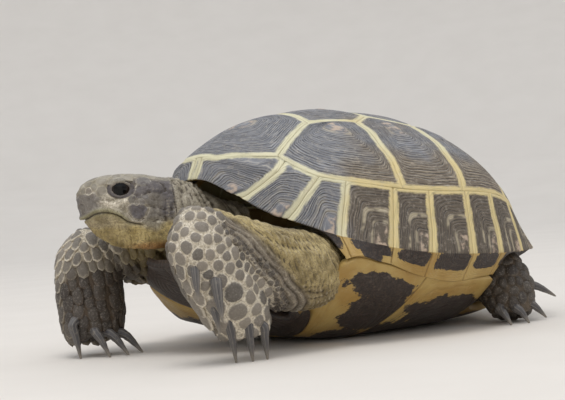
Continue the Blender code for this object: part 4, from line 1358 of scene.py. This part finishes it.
def region_marks(points, part, normals):
    """What colour each point of skin or scale takes, as shares of each kind of skin."""
    limbs = limb_marks(points, part, normals)
    marks = head_marks(points, part)
    return {name: np.clip(value + limbs.get(name, 0), 0, 1) for name, value in marks.items()}


def limb_marks(points, part, normals):
    """Ochre, pale and shaded skin of legs and tail."""
    legs = np.char.find(part.astype(str), "leg") >= 0
    near = points[:, 1] < 0
    uneven = noise(points, 6, 51)
    upper = np.char.endswith(part.astype(str), "_0") & (points[:, 0] < 0)
    bend, _ = arm_bend(points)
    slant = arm_slant(points)
    thigh = upper * legs * step(slant + 1.5 * uneven, 6, 11)
    front = legs * (points[:, 0] < -30)
    rear = (legs & (points[:, 0] > 0)) | (part == "tail")
    inner = step(np.where(near, normals[:, 1], -normals[:, 1]), 0.1, 0.55) * front
    inner = inner * np.where(near, 1.0, step(points[:, 2], 46, 34))
    far = front * ~near * step(points[:, 2], 42, 25) * 0.7
    crease = upper * legs * near * step(slant + 2 * uneven, -1, 2) * step(slant + 2 * uneven, 13, 8) * 0.72
    low = step(points[:, 2] + 2 * uneven, 31, 22) * 0.6
    deep = np.maximum(low, step(bend + 2 * uneven, 27, 20) * 0.8)
    crease = np.maximum(crease, thigh * np.maximum(deep, 0.3 + 0.15 * uneven))
    return {
        "ochre": thigh * 0.9,
        "pale": front * (1 - thigh) * (1 - inner) * np.where(near, 1.0, 0.9),
        "shade": rear * 0.95 + inner * 0.75 + far + crease,
    }


def head_marks(points, part):
    """Every kind of skin on head and neck."""
    along, out, height = head_measures(points)
    head, neck = part == "head", part == "neck"
    face, aside = head | neck, head & (np.abs(out) > 3)
    uneven = noise(points, 6, 51)
    below = height - curve_value(MOUTH_ALONG, MOUTH_HEIGHT, along)
    jaw = face * step(below + uneven * 0.7, 0.1, -0.5) * step(along, 12, 20)
    throat = face * step(height + uneven * 2.5, 58, 52.5)
    nape = near_line(along, height, NAPE_BAND, 3.2) * face * step(along, -5, -2)
    flank = step(np.abs(out), 4, 8) * step(height, 76.5, 74) * step(height, 56, 60) * step(along, 15.5, 13)
    flank = 0.62 * flank * head * step(along + 2 * uneven, -6, -2)
    mottle = 0.55 * head * step(noise(points, 1.9, 53) + 0.6 * noise(points, 4.5, 54), 0.15, 0.8)
    snout = step(along, 25, 30) * head * step(below, -0.3, 0.6) * step(height + uneven, 72, 69)
    temple, drum = inside(along, height, TEMPLE) & aside, inside(along, height, TYMPANUM) & aside
    slate = np.clip(np.maximum(flank, temple * 0.95) + drum * 0.8 + nape * 0.75 + snout * 0.7, 0, 1)
    lip = bell(below, 0.9, 1.0) * step(along, 14, 20) * head
    side = head * step(np.abs(out), 2, 4)
    outline = near_line(along, height, TYMPANUM + TYMPANUM[:1], 0.6)
    outline = np.maximum(outline, near_line(along, height, TEMPLE_BORDER, 0.55)) * side
    cheek = near_line(along, height, CHEEK, 1.3) + 0.7 * near_line(along, height, NOSE_CREASE, 0.9)
    cheek = 1.6 * cheek * step(noise(points, 2.5, 52), -0.9, -0.1) * side
    cheek = np.clip(cheek + outline * 0.8, 0, 1)
    oval, by_eye = eye_oval(along, height), head & (np.abs(out) > 4)
    lid = by_eye * step(oval, 1.5, 1.36)
    rim = by_eye * bell(oval, 1.62, 0.1) * step(height, 71, 69)
    corner = near_line(along, height, EYE_CORNER, 1.1) * head
    return {
        "ochre": jaw * 0.5 + throat * 0.95,
        "rust": face * step(height, 49.5, 46.3) * step(along, 22, 8),
        "pale": cheek + 0.15 * neck * step(height, 52, 58) + rim + mottle,
        "slate": slate * (1 - 0.8 * outline) + lid,
        "shade": jaw * 0.3 + neck * 0.15 + np.maximum(lid, corner) * 0.8,
        "lip": lip + jaw * 0.3 * step(below, -3, -0.6),
    }


def skin_look():
    """Wrinkled skin: olive, cream between the leg's scales, and ochre at throat and thigh."""
    look = Look("tortoise skin")
    colour = skin_colour(look)
    fold = look.value("fold")
    # Painted shade darkens the creases (fold) and a painted highlight lightens the fold tops (ridge).
    colour = look.mix(look.step(fold, 0.15, 0.8) * 0.8, colour, (0.05, 0.037, 0.026))
    colour = look.mix(look.step(look.value("ridge"), 0.3, 1.0) * 0.35, colour, (0.60, 0.53, 0.40))
    lines = look.cracks(1.3)
    creased = look.noise(1.6, 5, 0.7, distortion=1.4)
    crease = look.step(creased, 0.5, 0.4) * look.step(creased, 0.3, 0.4)
    smooth = look.value("slate")
    colour = look.mix(crease * (1 - smooth * 0.7) * 0.55, colour, (0.09, 0.065, 0.04))
    colour = look.mix(look.step(lines, 0.12, 0.02) * 0.22, colour, (0.08, 0.06, 0.04))
    height = look.step(lines, 0.0, 0.2) * 0.35 + creased * 0.9 + look.noise(0.45, 3) * 0.4
    rough = 0.62 + look.noise(3, 2) * 0.2
    return look.finish(base_color=colour, roughness=rough, normal=look.bump(height, 0.22, 0.8))


def skin_colour(look):
    """The markings that skin and scales share."""
    patches, grain = look.noise(5, 3), look.noise(1.1, 4, 0.65)
    blend = look.step(patches, 0.3, 0.7)
    olive = look.mix(blend, (0.24, 0.21, 0.145), (0.46, 0.415, 0.325))
    cream = look.mix(look.step(grain, 0.3, 0.7), (0.45, 0.39, 0.29), (0.84, 0.77, 0.64))
    ochre = look.mix(blend, (0.36, 0.27, 0.095), (0.68, 0.54, 0.24))
    slate = look.mix(grain, (0.075, 0.066, 0.07), (0.15, 0.135, 0.135))
    shade = look.mix(blend, (0.03, 0.02, 0.013), (0.10, 0.07, 0.045))
    colour = look.mix(look.value("pale"), olive, cream)
    colour = look.mix(look.value("ochre"), colour, ochre)
    colour = look.mix(look.value("rust") * 0.8, colour, (0.46, 0.21, 0.06))
    colour = look.mix(look.value("shade"), colour, shade)
    colour = look.mix(look.value("slate"), colour, slate)
    colour = look.mix(look.value("lip") * 0.5, colour, (0.33, 0.31, 0.12))
    return look.mix(look.step(grain, 0.55, 0.8) * 0.2, colour, (0.55, 0.49, 0.40))


def refine_head(mesh):
    """Splits the faces of the head once, for its lids and folds."""
    shape = bmesh.new()
    shape.from_mesh(mesh)
    nape = Vector((head_spot(0, 0, 0) + SHIFT) * MM)
    way, start = Vector(HEAD_FORWARD), 7 * MM
    edges = [edge for edge in shape.edges if all((v.co - nape).dot(way) > start for v in edge.verts)]
    bmesh.ops.subdivide_edges(shape, edges=edges, cuts=1, use_grid_fill=True)
    shape.to_mesh(mesh)
    shape.free()


def build_skin(look):
    """The one skin of head, neck, legs and tail, with each vertex's length, share and turn."""
    parts = flesh_parts()
    mesh = voxel_union(parts)
    edges = mesh_edges(mesh)
    write_points(mesh, smoothed(read_points(mesh), edges, 6))
    refine_head(mesh)
    edges = mesh_edges(mesh)
    points = smoothed(read_points(mesh), edges, 2)
    write_points(mesh, points)
    part, t, u = homes(points, parts)
    normals = vertex_normals(mesh)
    level = points[:, 2].copy()
    face = np.isin(part, ("head", "neck")).astype(float)
    head_share = smoothed(face[:, None], edges, 4)[:, 0]
    relief = limb_relief(points, part)
    relief = np.where(part == "head", 0.0, relief) - SKIN_DEPTH
    relief = smoothed(relief[:, None], edges, 2)[:, 0]
    moved = points + normals * relief[:, None]
    moved = carve_head(moved, normals, head_share)
    moved[:, 2] = np.where(level < 1.2, level, np.maximum(moved[:, 2], 0.05))
    soft = smoothed(moved, edges, 14)
    write_points(mesh, moved)
    normals = vertex_normals(mesh)
    # How far each point lies below or above the smoothed skin, painted as shade in the creases and as
    # highlight on the fold tops.
    fold = -((moved - soft) * normals).sum(-1)
    marks = region_marks(moved, part, normals)
    marks["fold"] = np.clip(fold / 0.45, 0, 1)
    marks["ridge"] = np.clip(-fold / 0.45, 0, 1)
    for name, value in marks.items():
        paint(mesh, name, value)
    nodes = ["trunk", "head", "lower_jaw", "neck", "tail", *LEGS]
    place_piece("skin", mesh, look, nodes, outward=False)
    return mesh, part, t, u


# ---------------------------------------------------------------- scales

def scale_size(points, part, normals):
    """How wide a scale is at each point, in millimetres; 0 where there is none."""
    head = part == "head"
    size = np.where(head, skull_scale_size(points), limb_scale_size(points, part, normals))
    size = np.where((np.abs(points[:, 0]) < 62) & ~head & ~legs_in_view(points, part), 0, size)
    return np.where(points[:, 2] < 0.7, 0, size)


def limb_scale_size(points, part, normals):
    """The same for legs and tail; a later line of the list stands over an earlier one."""
    low, slant, left = step(points[:, 2], 42, 18), arm_slant(points), points[:, 1] < 0
    fore = np.isin(part, ("front_leg_left_1", "front_leg_right_1"))
    arm = np.isin(part, ("front_leg_left_0", "front_leg_right_0"))
    right = np.isin(part, ("front_leg_right_0", "front_leg_right_1"))
    rear = np.isin(part, ("rear_leg_left_0", "rear_leg_right_0"))
    size = np.where(fore, 3.7 + 1.6 * low + 1.0 * step(-normals[:, 0], 0.3, 0.8) * low, 0.0)
    for where, width in (
        (arm & (slant < 0), 3.2),
        (arm & (slant >= 0) & (slant < 3.5), 1.9),
        (arm & (slant >= 3.5) & left, 0),
        (fore & left & (slant > 8) & (points[:, 2] > 24), 2.2),
        (right & (points[:, 0] < -80), 4.1),
        (rear, 4.6),
        (part == "tail", 3.0),
    ):
        size = np.where(where, width, size)
    return size


def skull_scale_size(points):
    """Scales of the crown and a few of the cheek; jaw, lips, eyes and plates are bare."""
    along, out, height = head_measures(points)
    wide = np.abs(out)
    below = height - curve_value(MOUTH_ALONG, MOUTH_HEIGHT, along)
    size = 2.4 + 1.6 * step(height, 73, 75.5) * step(along, 3, 9)
    over_drum = (along > 9) & (height > 65.5) & (height < 67.5)
    plates = inside(along, height, TEMPLE) | inside(along, height, TYMPANUM)
    bare = (below < -0.8) | ((np.abs(below) < 2.2) & (along > 8))
    bare |= (height < 74.5) & (along < 14.5) & (wide > 4) & ~over_drum
    bare |= (wide > 3) & (height < 71) & (along > 14)
    bare |= (eye_oval(along, height) < 1.75) & (wide > 3.5)
    bare |= np.hypot(along - NOSTRIL_ALONG, height - NOSTRIL_HEIGHT) < 2.0
    bare |= near_line(along, height, CHEEK, 1.3) > 0.35
    bare |= (plates & (wide > 3)) | ((below > -2.4) & (below < 2.6) & (along > 22))
    return np.where(bare, 0, size)


def legs_in_view(points, part):
    """True where a leg can come out from under the shell."""
    legs = np.char.find(part.astype(str), "leg") >= 0
    outer = np.where(points[:, 0] > 0, np.abs(points[:, 1]) > 33, np.abs(points[:, 1]) > 30)
    return legs & outer & (np.abs(points[:, 0]) > 30)


def sow(points, sizes, seed, given):
    """Picks the given points, then others no closer to one another than the local size."""
    tree = near_points(points)
    free = sizes > 0
    chosen = list(given)
    for index in given:
        for _, other, _ in tree.find_range(points[index], sizes[index] * 0.86):
            free[other] = False
    for index in np.random.default_rng(seed).permutation(np.flatnonzero(free)):
        if free[index]:
            chosen.append(index)
            for _, other, _ in tree.find_range(points[index], sizes[index]):
                free[other] = False
    return np.array(chosen)


def scale_polygons(seeds, sizes, frames, widest):
    """How far each scale reaches in each direction before it meets its neighbours."""
    tree = near_points(seeds)
    reach = np.empty((len(seeds), SCALE_SIDES))
    for i, seed in enumerate(seeds):
        around = [j for _, j, _ in tree.find_range(seed, 2.4 * sizes[i]) if j != i]
        ways = np.cos(SCALE_TURN)[:, None] * frames[i, 0] + np.sin(SCALE_TURN)[:, None] * frames[i, 1]
        limit = np.full(SCALE_SIDES, widest * sizes[i])
        if around:
            offset = seeds[around] - seed
            share = sizes[i] / (sizes[i] + sizes[around])
            facing = ways @ offset.T
            meet = share * (offset**2).sum(-1) / np.maximum(facing, 1e-6)
            limit = np.minimum(limit, np.where(facing > 0, meet, 1e9).min(1))
        reach[i] = limit
    return (np.roll(reach, 1, 1) + 2 * reach + np.roll(reach, -1, 1)) / 4


def scale_frames(normals, part):
    """Two tangent directions for each normal, the first pointing down the limb or back."""
    legs = (np.char.find(part.astype(str), "leg") >= 0)[:, None]
    down = np.where(legs, [[0.1, 0, -1.0]], -HEAD_FORWARD)
    first = unit(down - normals * (down * normals).sum(-1, keepdims=True))
    return np.stack([first, np.cross(normals, first)], 1)


def build_scales(name, sown, widest, tree, look):
    """One piece of domed scales, each closed, conforming to the skin below it."""
    points = scale_points(sown, widest, tree)
    count, size = points.shape[:2]
    faces = scale_faces(len(SCALE_RINGS))
    faces = (faces[None] + (np.arange(count) * size)[:, None, None]).reshape(-1, 3)
    ring = np.repeat(SCALE_RINGS, SCALE_SIDES)
    ring = np.concatenate([[0], ring, np.ones(SCALE_SIDES), [1]])
    marks = region_marks(sown.seeds, sown.part, sown.normals)
    values = {key: np.repeat(value, size) for key, value in marks.items()}
    values["rim"] = np.tile(ring, count)
    values["scale"] = np.repeat(hashed(np.round(sown.seeds * 50).astype(np.int64), 62), size)
    values["big"] = np.repeat(sown.sizes, size)
    mesh = array_mesh(name, points.reshape(-1, 3), faces, values, scale_unwrap(sown, ring))
    place_piece(name, mesh, look, outward=False)


def scale_points(sown, widest, tree):
    """Points of each scale: its middle, its rings, the foot of its wall, and one point below."""
    frames = scale_frames(sown.normals, sown.part)
    reach = scale_polygons(sown.seeds, sown.sizes, frames, widest)
    reach = np.maximum(reach - sown.gap, 0.3 * sown.sizes[:, None])
    tip = np.maximum(np.cos(SCALE_TURN), 0)[None, :]
    reach = reach * (1 + sown.lean[:, None] * (1.3 * tip**3 - 0.15))
    cosine, sine = np.cos(SCALE_TURN)[None, :, None], np.sin(SCALE_TURN)[None, :, None]
    ways = cosine * frames[:, :1] + sine * frames[:, 1:]
    shares = np.array(SCALE_RINGS)[None, :, None]
    spots = sown.seeds[:, None, None] + ways[:, None] * (reach[:, None, :] * shares)[..., None]
    found = [tree.find_nearest(point) for point in spots.reshape(-1, 3).tolist()]
    base, skin_normal = (np.array([hit[k] for hit in found]).reshape(spots.shape) for k in (0, 1))
    away = unit(sown.normals[:, None, None] * 0.65 + skin_normal * 0.35)
    across = sown.lean[:, None, None] * tip[:, None]
    base = base + (spots - base) * np.minimum(across * shares * 0.9, 1)[..., None]
    dome = (1 - shares**3.2) * sown.tall[:, None, None] + across * shares**1.5 * 1.1 + 0.06
    rough = noise(spots, 0.9, 61) * 0.05
    top = base + away * (dome + rough)[..., None]
    top[..., 2] = np.maximum(top[..., 2], 0.02)
    foot = base[:, -1] - away[:, -1] * SCALE_BACK
    foot = foot + (sown.seeds[:, None] - foot) * 0.06
    foot[..., 2] = np.maximum(foot[..., 2], 0.01)
    centre = sown.seeds + sown.normals * (sown.tall + 0.06)[:, None]
    under = sown.seeds - sown.normals * 0.5
    return np.concatenate([centre[:, None], top.reshape(len(top), -1, 3), foot, under[:, None]], 1)


def scale_unwrap(sown, ring):
    """Each scale a small round patch, at its root's place on the unrolled length of flesh."""
    patch = np.zeros((len(ring), 2))
    angle = np.tile(SCALE_TURN, len(SCALE_RINGS) + 1)
    patch[1:-1] = np.stack([np.cos(angle), np.sin(angle)], -1) * (ring[1:-1] * BAKED_RADIUS)[:, None]
    lengths, column = np.unique(sown.part.astype(str), return_inverse=True)
    place = np.stack([(column + sown.u) / len(lengths), sown.t], -1)[:, None] * 0.98 + 0.01
    return (place + patch[None]).reshape(-1, 2)


def scale_faces(rings):
    """Triangles of one scale: its dome, its wall and its underside."""
    faces = []
    foot, under = 1 + rings * SCALE_SIDES, 1 + (rings + 1) * SCALE_SIDES
    for k in range(SCALE_SIDES):
        j = (k + 1) % SCALE_SIDES
        faces.append((0, 1 + k, 1 + j))
        for start in range(1, foot, SCALE_SIDES):
            a, b = start + k, start + j
            faces.append((a, a + SCALE_SIDES, b + SCALE_SIDES))
            faces.append((a, b + SCALE_SIDES, b))
        faces.append((under, foot + j, foot + k))
    return np.array(faces)


def array_mesh(name, points, triangles, values, uv):
    """A mesh straight from arrays, with its painted values and its own unwrap."""
    mesh = bpy.data.meshes.new(name)
    mesh.vertices.add(len(points))
    mesh.vertices.foreach_set("co", ((points + SHIFT) * MM).astype(np.float32).ravel())
    mesh.loops.add(triangles.size)
    mesh.loops.foreach_set("vertex_index", triangles.astype(np.int32).ravel())
    mesh.polygons.add(len(triangles))
    mesh.polygons.foreach_set("loop_start", np.arange(0, triangles.size, 3, dtype=np.int32))
    mesh.update(calc_edges=True)
    for title, value in values.items():
        paint(mesh, title, value)
    layer = mesh.uv_layers.new(name="OFBake")
    layer.uv.foreach_set("vector", uv[triangles.ravel()].astype(np.float32).ravel())
    return mesh


def scale_look():
    """Horny scales: a dark worn middle inside a pale rim, in the colours of the skin below."""
    look = Look("tortoise scales")
    base = skin_colour(look)
    rim, tone = look.value("rim"), look.value("scale")
    grain = look.noise(0.7, 4, 0.65)
    dark = look.mix(tone, (0.06, 0.052, 0.047), (0.22, 0.19, 0.155))
    dark = look.mix(look.step(look.value("slate"), 0.2, 0.7), dark, (0.095, 0.088, 0.092))
    dark = look.mix(look.value("shade") * 0.85, dark, (0.028, 0.021, 0.017))
    dark = look.mix(look.value("ochre") * 0.6, dark, (0.30, 0.235, 0.10))
    middle = look.step(rim + (grain - 0.5) * 0.3, 0.97, 0.76)
    strength = 0.5 + look.value("pale") * 0.42 + look.value("shade") * 0.3
    colour = look.mix(middle * strength.smaller(0.92), base, dark)
    colour = look.mix(look.step(grain, 0.5, 0.7) * 0.38, colour, (0.42, 0.385, 0.33))
    rings = (rim * 4.2 + (grain - 0.5) * 0.5).fraction()
    ridge = look.step(rings, 0.25, 0.0)
    height = grain * 0.6 + (1 - ridge) * 0.4 * look.step(look.value("big"), 2.5, 4.5)
    rough = 0.5 + grain * 0.2
    return look.finish(base_color=colour, roughness=rough, normal=look.bump(height, 0.16, 0.8))


def dress_in_scales(mesh, part, t, u, look):
    """Sows and builds every scale, in pieces by region."""
    points = read_points(mesh)
    calm = unit(smoothed(vertex_normals(mesh), mesh_edges(mesh), 6))
    sizes = scale_size(points, part, calm)
    sizes = sizes * (1 + 0.32 * noise(points, 5, 71)) * (sizes > 0)
    long = np.zeros(len(points))
    given = []
    for x, y, z, width, length in GIVEN_SCALES:
        index = np.linalg.norm(points - [x, y, z], axis=1).argmin()
        sizes[index], long[index] = width, length
        given.append(index)
    chosen = sow(points, sizes, SOWING_SEED, given)
    tree = BVHTree.FromPolygons(points.tolist(), [list(p.vertices) for p in mesh.polygons])
    homes_chosen = part[chosen].astype(str)
    groups = {
        "scales_front_left": np.char.startswith(homes_chosen, "front_leg_left"),
        "scales_front_right": np.char.startswith(homes_chosen, "front_leg_right"),
        "scales_rear": np.char.startswith(homes_chosen, "rear") | (homes_chosen == "tail"),
        "scales_head": np.isin(homes_chosen, ("head", "neck")),
    }
    for name, mask in groups.items():
        picks = chosen[mask]
        where, out, size = points[picks], calm[picks], sizes[picks]
        front = step(-out[:, 0] - 0.35 * np.abs(out[:, 1]), 0.25, 0.7) * step(where[:, 2], 50, 36)
        kind = SCALE_KINDS[name]
        lean = np.maximum(np.maximum(front * kind.front_lean, long[picks]), kind.lean)
        tall = np.clip(size * kind.tall, 0.1, 1.1) * kind.taller
        sown = Sown(where, size, out, part[picks], t[picks], u[picks], kind.gap, tall, lean)
        build_scales(name, sown, kind.widest, tree, look)


# ---------------------------------------------------------------- claws and eyes

def build_claws():
    """Each claw a tapered curve of streaked horn, grooved along its sides."""
    look = Look("claw horn")
    length, round_ = look.value("length"), look.value("round")
    streak = look.noise(0.8, 3, 0.6, look.combine(round_ * 9, length * 0.35))
    colour = look.mix(look.step(streak, 0.35, 0.68), (0.05, 0.047, 0.052), (0.20, 0.185, 0.165))
    colour = look.mix(look.step(length, 0.72, 1.0) * 0.5, colour, (0.36, 0.31, 0.24))
    colour = look.mix(look.step(look.noise(1.5, 4), 0.55, 0.75) * 0.3, colour, (0.42, 0.36, 0.28))
    look.finish(base_color=colour, roughness=0.42 + streak * 0.2, normal=look.bump(streak, 0.16, 0.8))
    for leg, claws in CLAWS.items():
        for number, (base, tip) in enumerate(claws, 1):
            node = f"claw_{leg.replace('_leg', '')}_{number}"
            foot, base, tip = np.array(LEGS[leg][-1][-1][:3]), np.array(base), np.array(tip)
            mesh = claw_mesh(f"{node}_horn", base, tip, unit((base - foot) * [1, 1, 0]))
            place_piece(f"{node}_horn", mesh, look.material, [node])
    return look.material


def build_spurs(look):
    """The long pointed scales that hang from the front of the near foreleg, in one piece."""
    pile = Pile()
    for root, tip, wide, thick in SPURS:
        root, tip = np.array(root), np.array(tip)
        inner = root + [3, 5, 2.5]
        middle = (root + tip) / 2 + [-0.5, -0.6, 0]
        stations = (
            (*inner, wide * 0.6, thick), (*root, wide, thick),
            (*middle, wide * 0.7, thick * 0.8), (*tip, 0.3, 0.25),
        )
        grid = dense_grid(flesh_grid(stations, np.array([0.75, -0.65, 0]), 7, 8), *SPUR_GRID)
        add_horn(pile, grid + (0.14 * noise(grid, 1.6, 81))[..., None])
    place_piece("spurs_front_left", pile.mesh("spurs_front_left"), look)


def grid_shares(grid):
    """Share of the way along and round at each point of a grid of rings."""
    rows, columns = grid.shape[:2]
    return np.meshgrid(np.linspace(0, 1, rows), np.arange(columns) / columns, indexing="ij")


def add_horn(pile, grid):
    """Adds the rings as one solid, painted with its length and its way round for the streaks."""
    t, turn = grid_shares(grid)
    length = np.append(t.ravel(), (0, 1))
    solid_grid(pile, grid, length=length, round=np.append(np.abs(turn - 0.5).ravel() * 2, (0, 0)))


def claw_mesh(name, base, tip, outward):
    """A claw from inside the toe to its point, curving down."""
    root = base + unit(base - tip) * 3 - outward * 4
    base = base + unit(base - tip) * 1.2 + outward * 0.8
    bend = (base + tip) / 2 + [0, 0, 1.1]
    stations = (
        (*root, CLAW_RADIUS, CLAW_RADIUS), (*base, CLAW_RADIUS, CLAW_RADIUS),
        (*bend, CLAW_RADIUS * 0.75, CLAW_RADIUS * 0.75), (*tip, 0.4, 0.4),
    )
    grid = dense_grid(flesh_grid(stations, np.array([0.3, 1, 0.1]), 6, 7), *CLAW_GRID)
    t, turn = grid_shares(grid)
    middle = grid.mean(1, keepdims=True)
    relief = 1 + 0.05 * np.cos(turn * 2 * pi * 5 + 1) * (1 - t) + 0.03 * np.sin(t * 37)
    grid = middle + (grid - middle) * relief[..., None]
    grid[..., 2] = np.maximum(grid[..., 2], 0)
    pile = Pile()
    add_horn(pile, grid)
    return pile.mesh(name)


def build_eyes():
    """Dark wet eyes: a black pupil in a dark brown iris, with a bulged front."""
    look = Look("wet eye")
    facing = look.value("facing")
    iris = look.mix(look.noise(0.5, 3), (0.006, 0.004, 0.003), (0.022, 0.013, 0.008))
    colour = look.mix(look.step(facing, 0.80, 0.86), iris, (0.003, 0.003, 0.003))
    colour = look.mix(look.step(facing, 0.42, 0.3), colour, (0.02, 0.015, 0.012))
    look.finish(base_color=colour, roughness=0.16, coat_weight=0.0, specular_ior_level=0.22)
    for side, word in ((1, "left"), (-1, "right")):
        centre = head_spot(EYE_ALONG, side * EYE_OUT, EYE_HEIGHT)
        shape = bmesh.new()
        bmesh.ops.create_uvsphere(shape, u_segments=64, v_segments=40, radius=EYE_RADIUS)
        points = np.array([vertex.co[:] for vertex in shape.verts])
        gaze = unit(HEAD_LEFT * side + HEAD_FORWARD * 0.12)
        facing_value = unit(points) @ gaze
        bulge = 1 + 0.03 * step(facing_value, 0.6, 0.9)
        for vertex, point in zip(shape.verts, points * bulge[:, None] + centre):
            vertex.co = (point + SHIFT) * MM
        mesh = bpy.data.meshes.new(f"eye_{word}_ball")
        shape.to_mesh(mesh)
        shape.free()
        paint(mesh, "facing", facing_value)
        place_piece(f"eye_{word}_ball", mesh, look.material, [f"eye_{word}"])


# ---------------------------------------------------------------- setting

def build_floor():
    """A pale floor that rises far out into a bowl."""
    look = Look("pale floor")
    colour = look.mix(look.noise(60, 3), (0.70, 0.655, 0.60), (0.76, 0.715, 0.66))
    turn = 2 * pi * np.arange(FLOOR_SIDES) / FLOOR_SIDES
    radius, height = np.array(FLOOR_RINGS).T[:, :, None]
    rings = np.stack([-radius * np.sin(turn), radius * np.cos(turn), height + 0 * turn], -1)
    faces = [tuple(range(FLOOR_SIDES))] + grid_faces(len(rings), FLOOR_SIDES, True).tolist()
    mesh = bpy.data.meshes.new("floor")
    mesh.from_pydata(rings.reshape(-1, 3).tolist(), [], faces)
    face_outward(mesh)
    mesh.shade_smooth()
    mesh.materials.append(look.finish(base_color=colour, roughness=0.9))
    ground = put_in_scene("floor", mesh)


def build_lights():
    """A pale sky, a broad soft light above and a weak one in front."""
    world = bpy.data.worlds.new("sky")
    world.use_nodes = True
    world.node_tree.nodes["Background"].inputs["Color"].default_value = SKY_COLOUR
    world.node_tree.nodes["Background"].inputs["Strength"].default_value = SKY_STRENGTH
    bpy.context.scene.world = world
    bpy.context.scene.view_settings.view_transform = "Standard"
    for name, place, energy, size, tint in LIGHTS:
        light = bpy.data.lights.new(name, "AREA")
        light.energy, light.size, light.color = energy, size, tint
        lamp = put_in_scene(name, light)
        lamp.location = place
        lamp.rotation_euler = (-Vector(place)).to_track_quat("-Z", "Y").to_euler()


def build_camera():
    view = bpy.data.cameras.new("camera")
    view.lens = CAMERA_LENS
    view.clip_start = 0.01
    camera = put_in_scene("camera", view)
    sight = Vector((sin(CAMERA_YAW), cos(CAMERA_YAW), 0))
    aim = sight.to_track_quat("-Z", "Y").to_matrix() @ Matrix.Rotation(CAMERA_ROLL, 3, "Z")
    camera.matrix_world = Matrix.Translation(CAMERA_PLACE) @ aim.to_4x4()
    bpy.context.scene.camera = camera


build_floor()
build_lights()
build_camera()
build_shell()
skin, home, way_along, way_round = build_skin(skin_look())
dress_in_scales(skin, home, way_along, way_round, scale_look())
build_spurs(build_claws())
build_eyes()
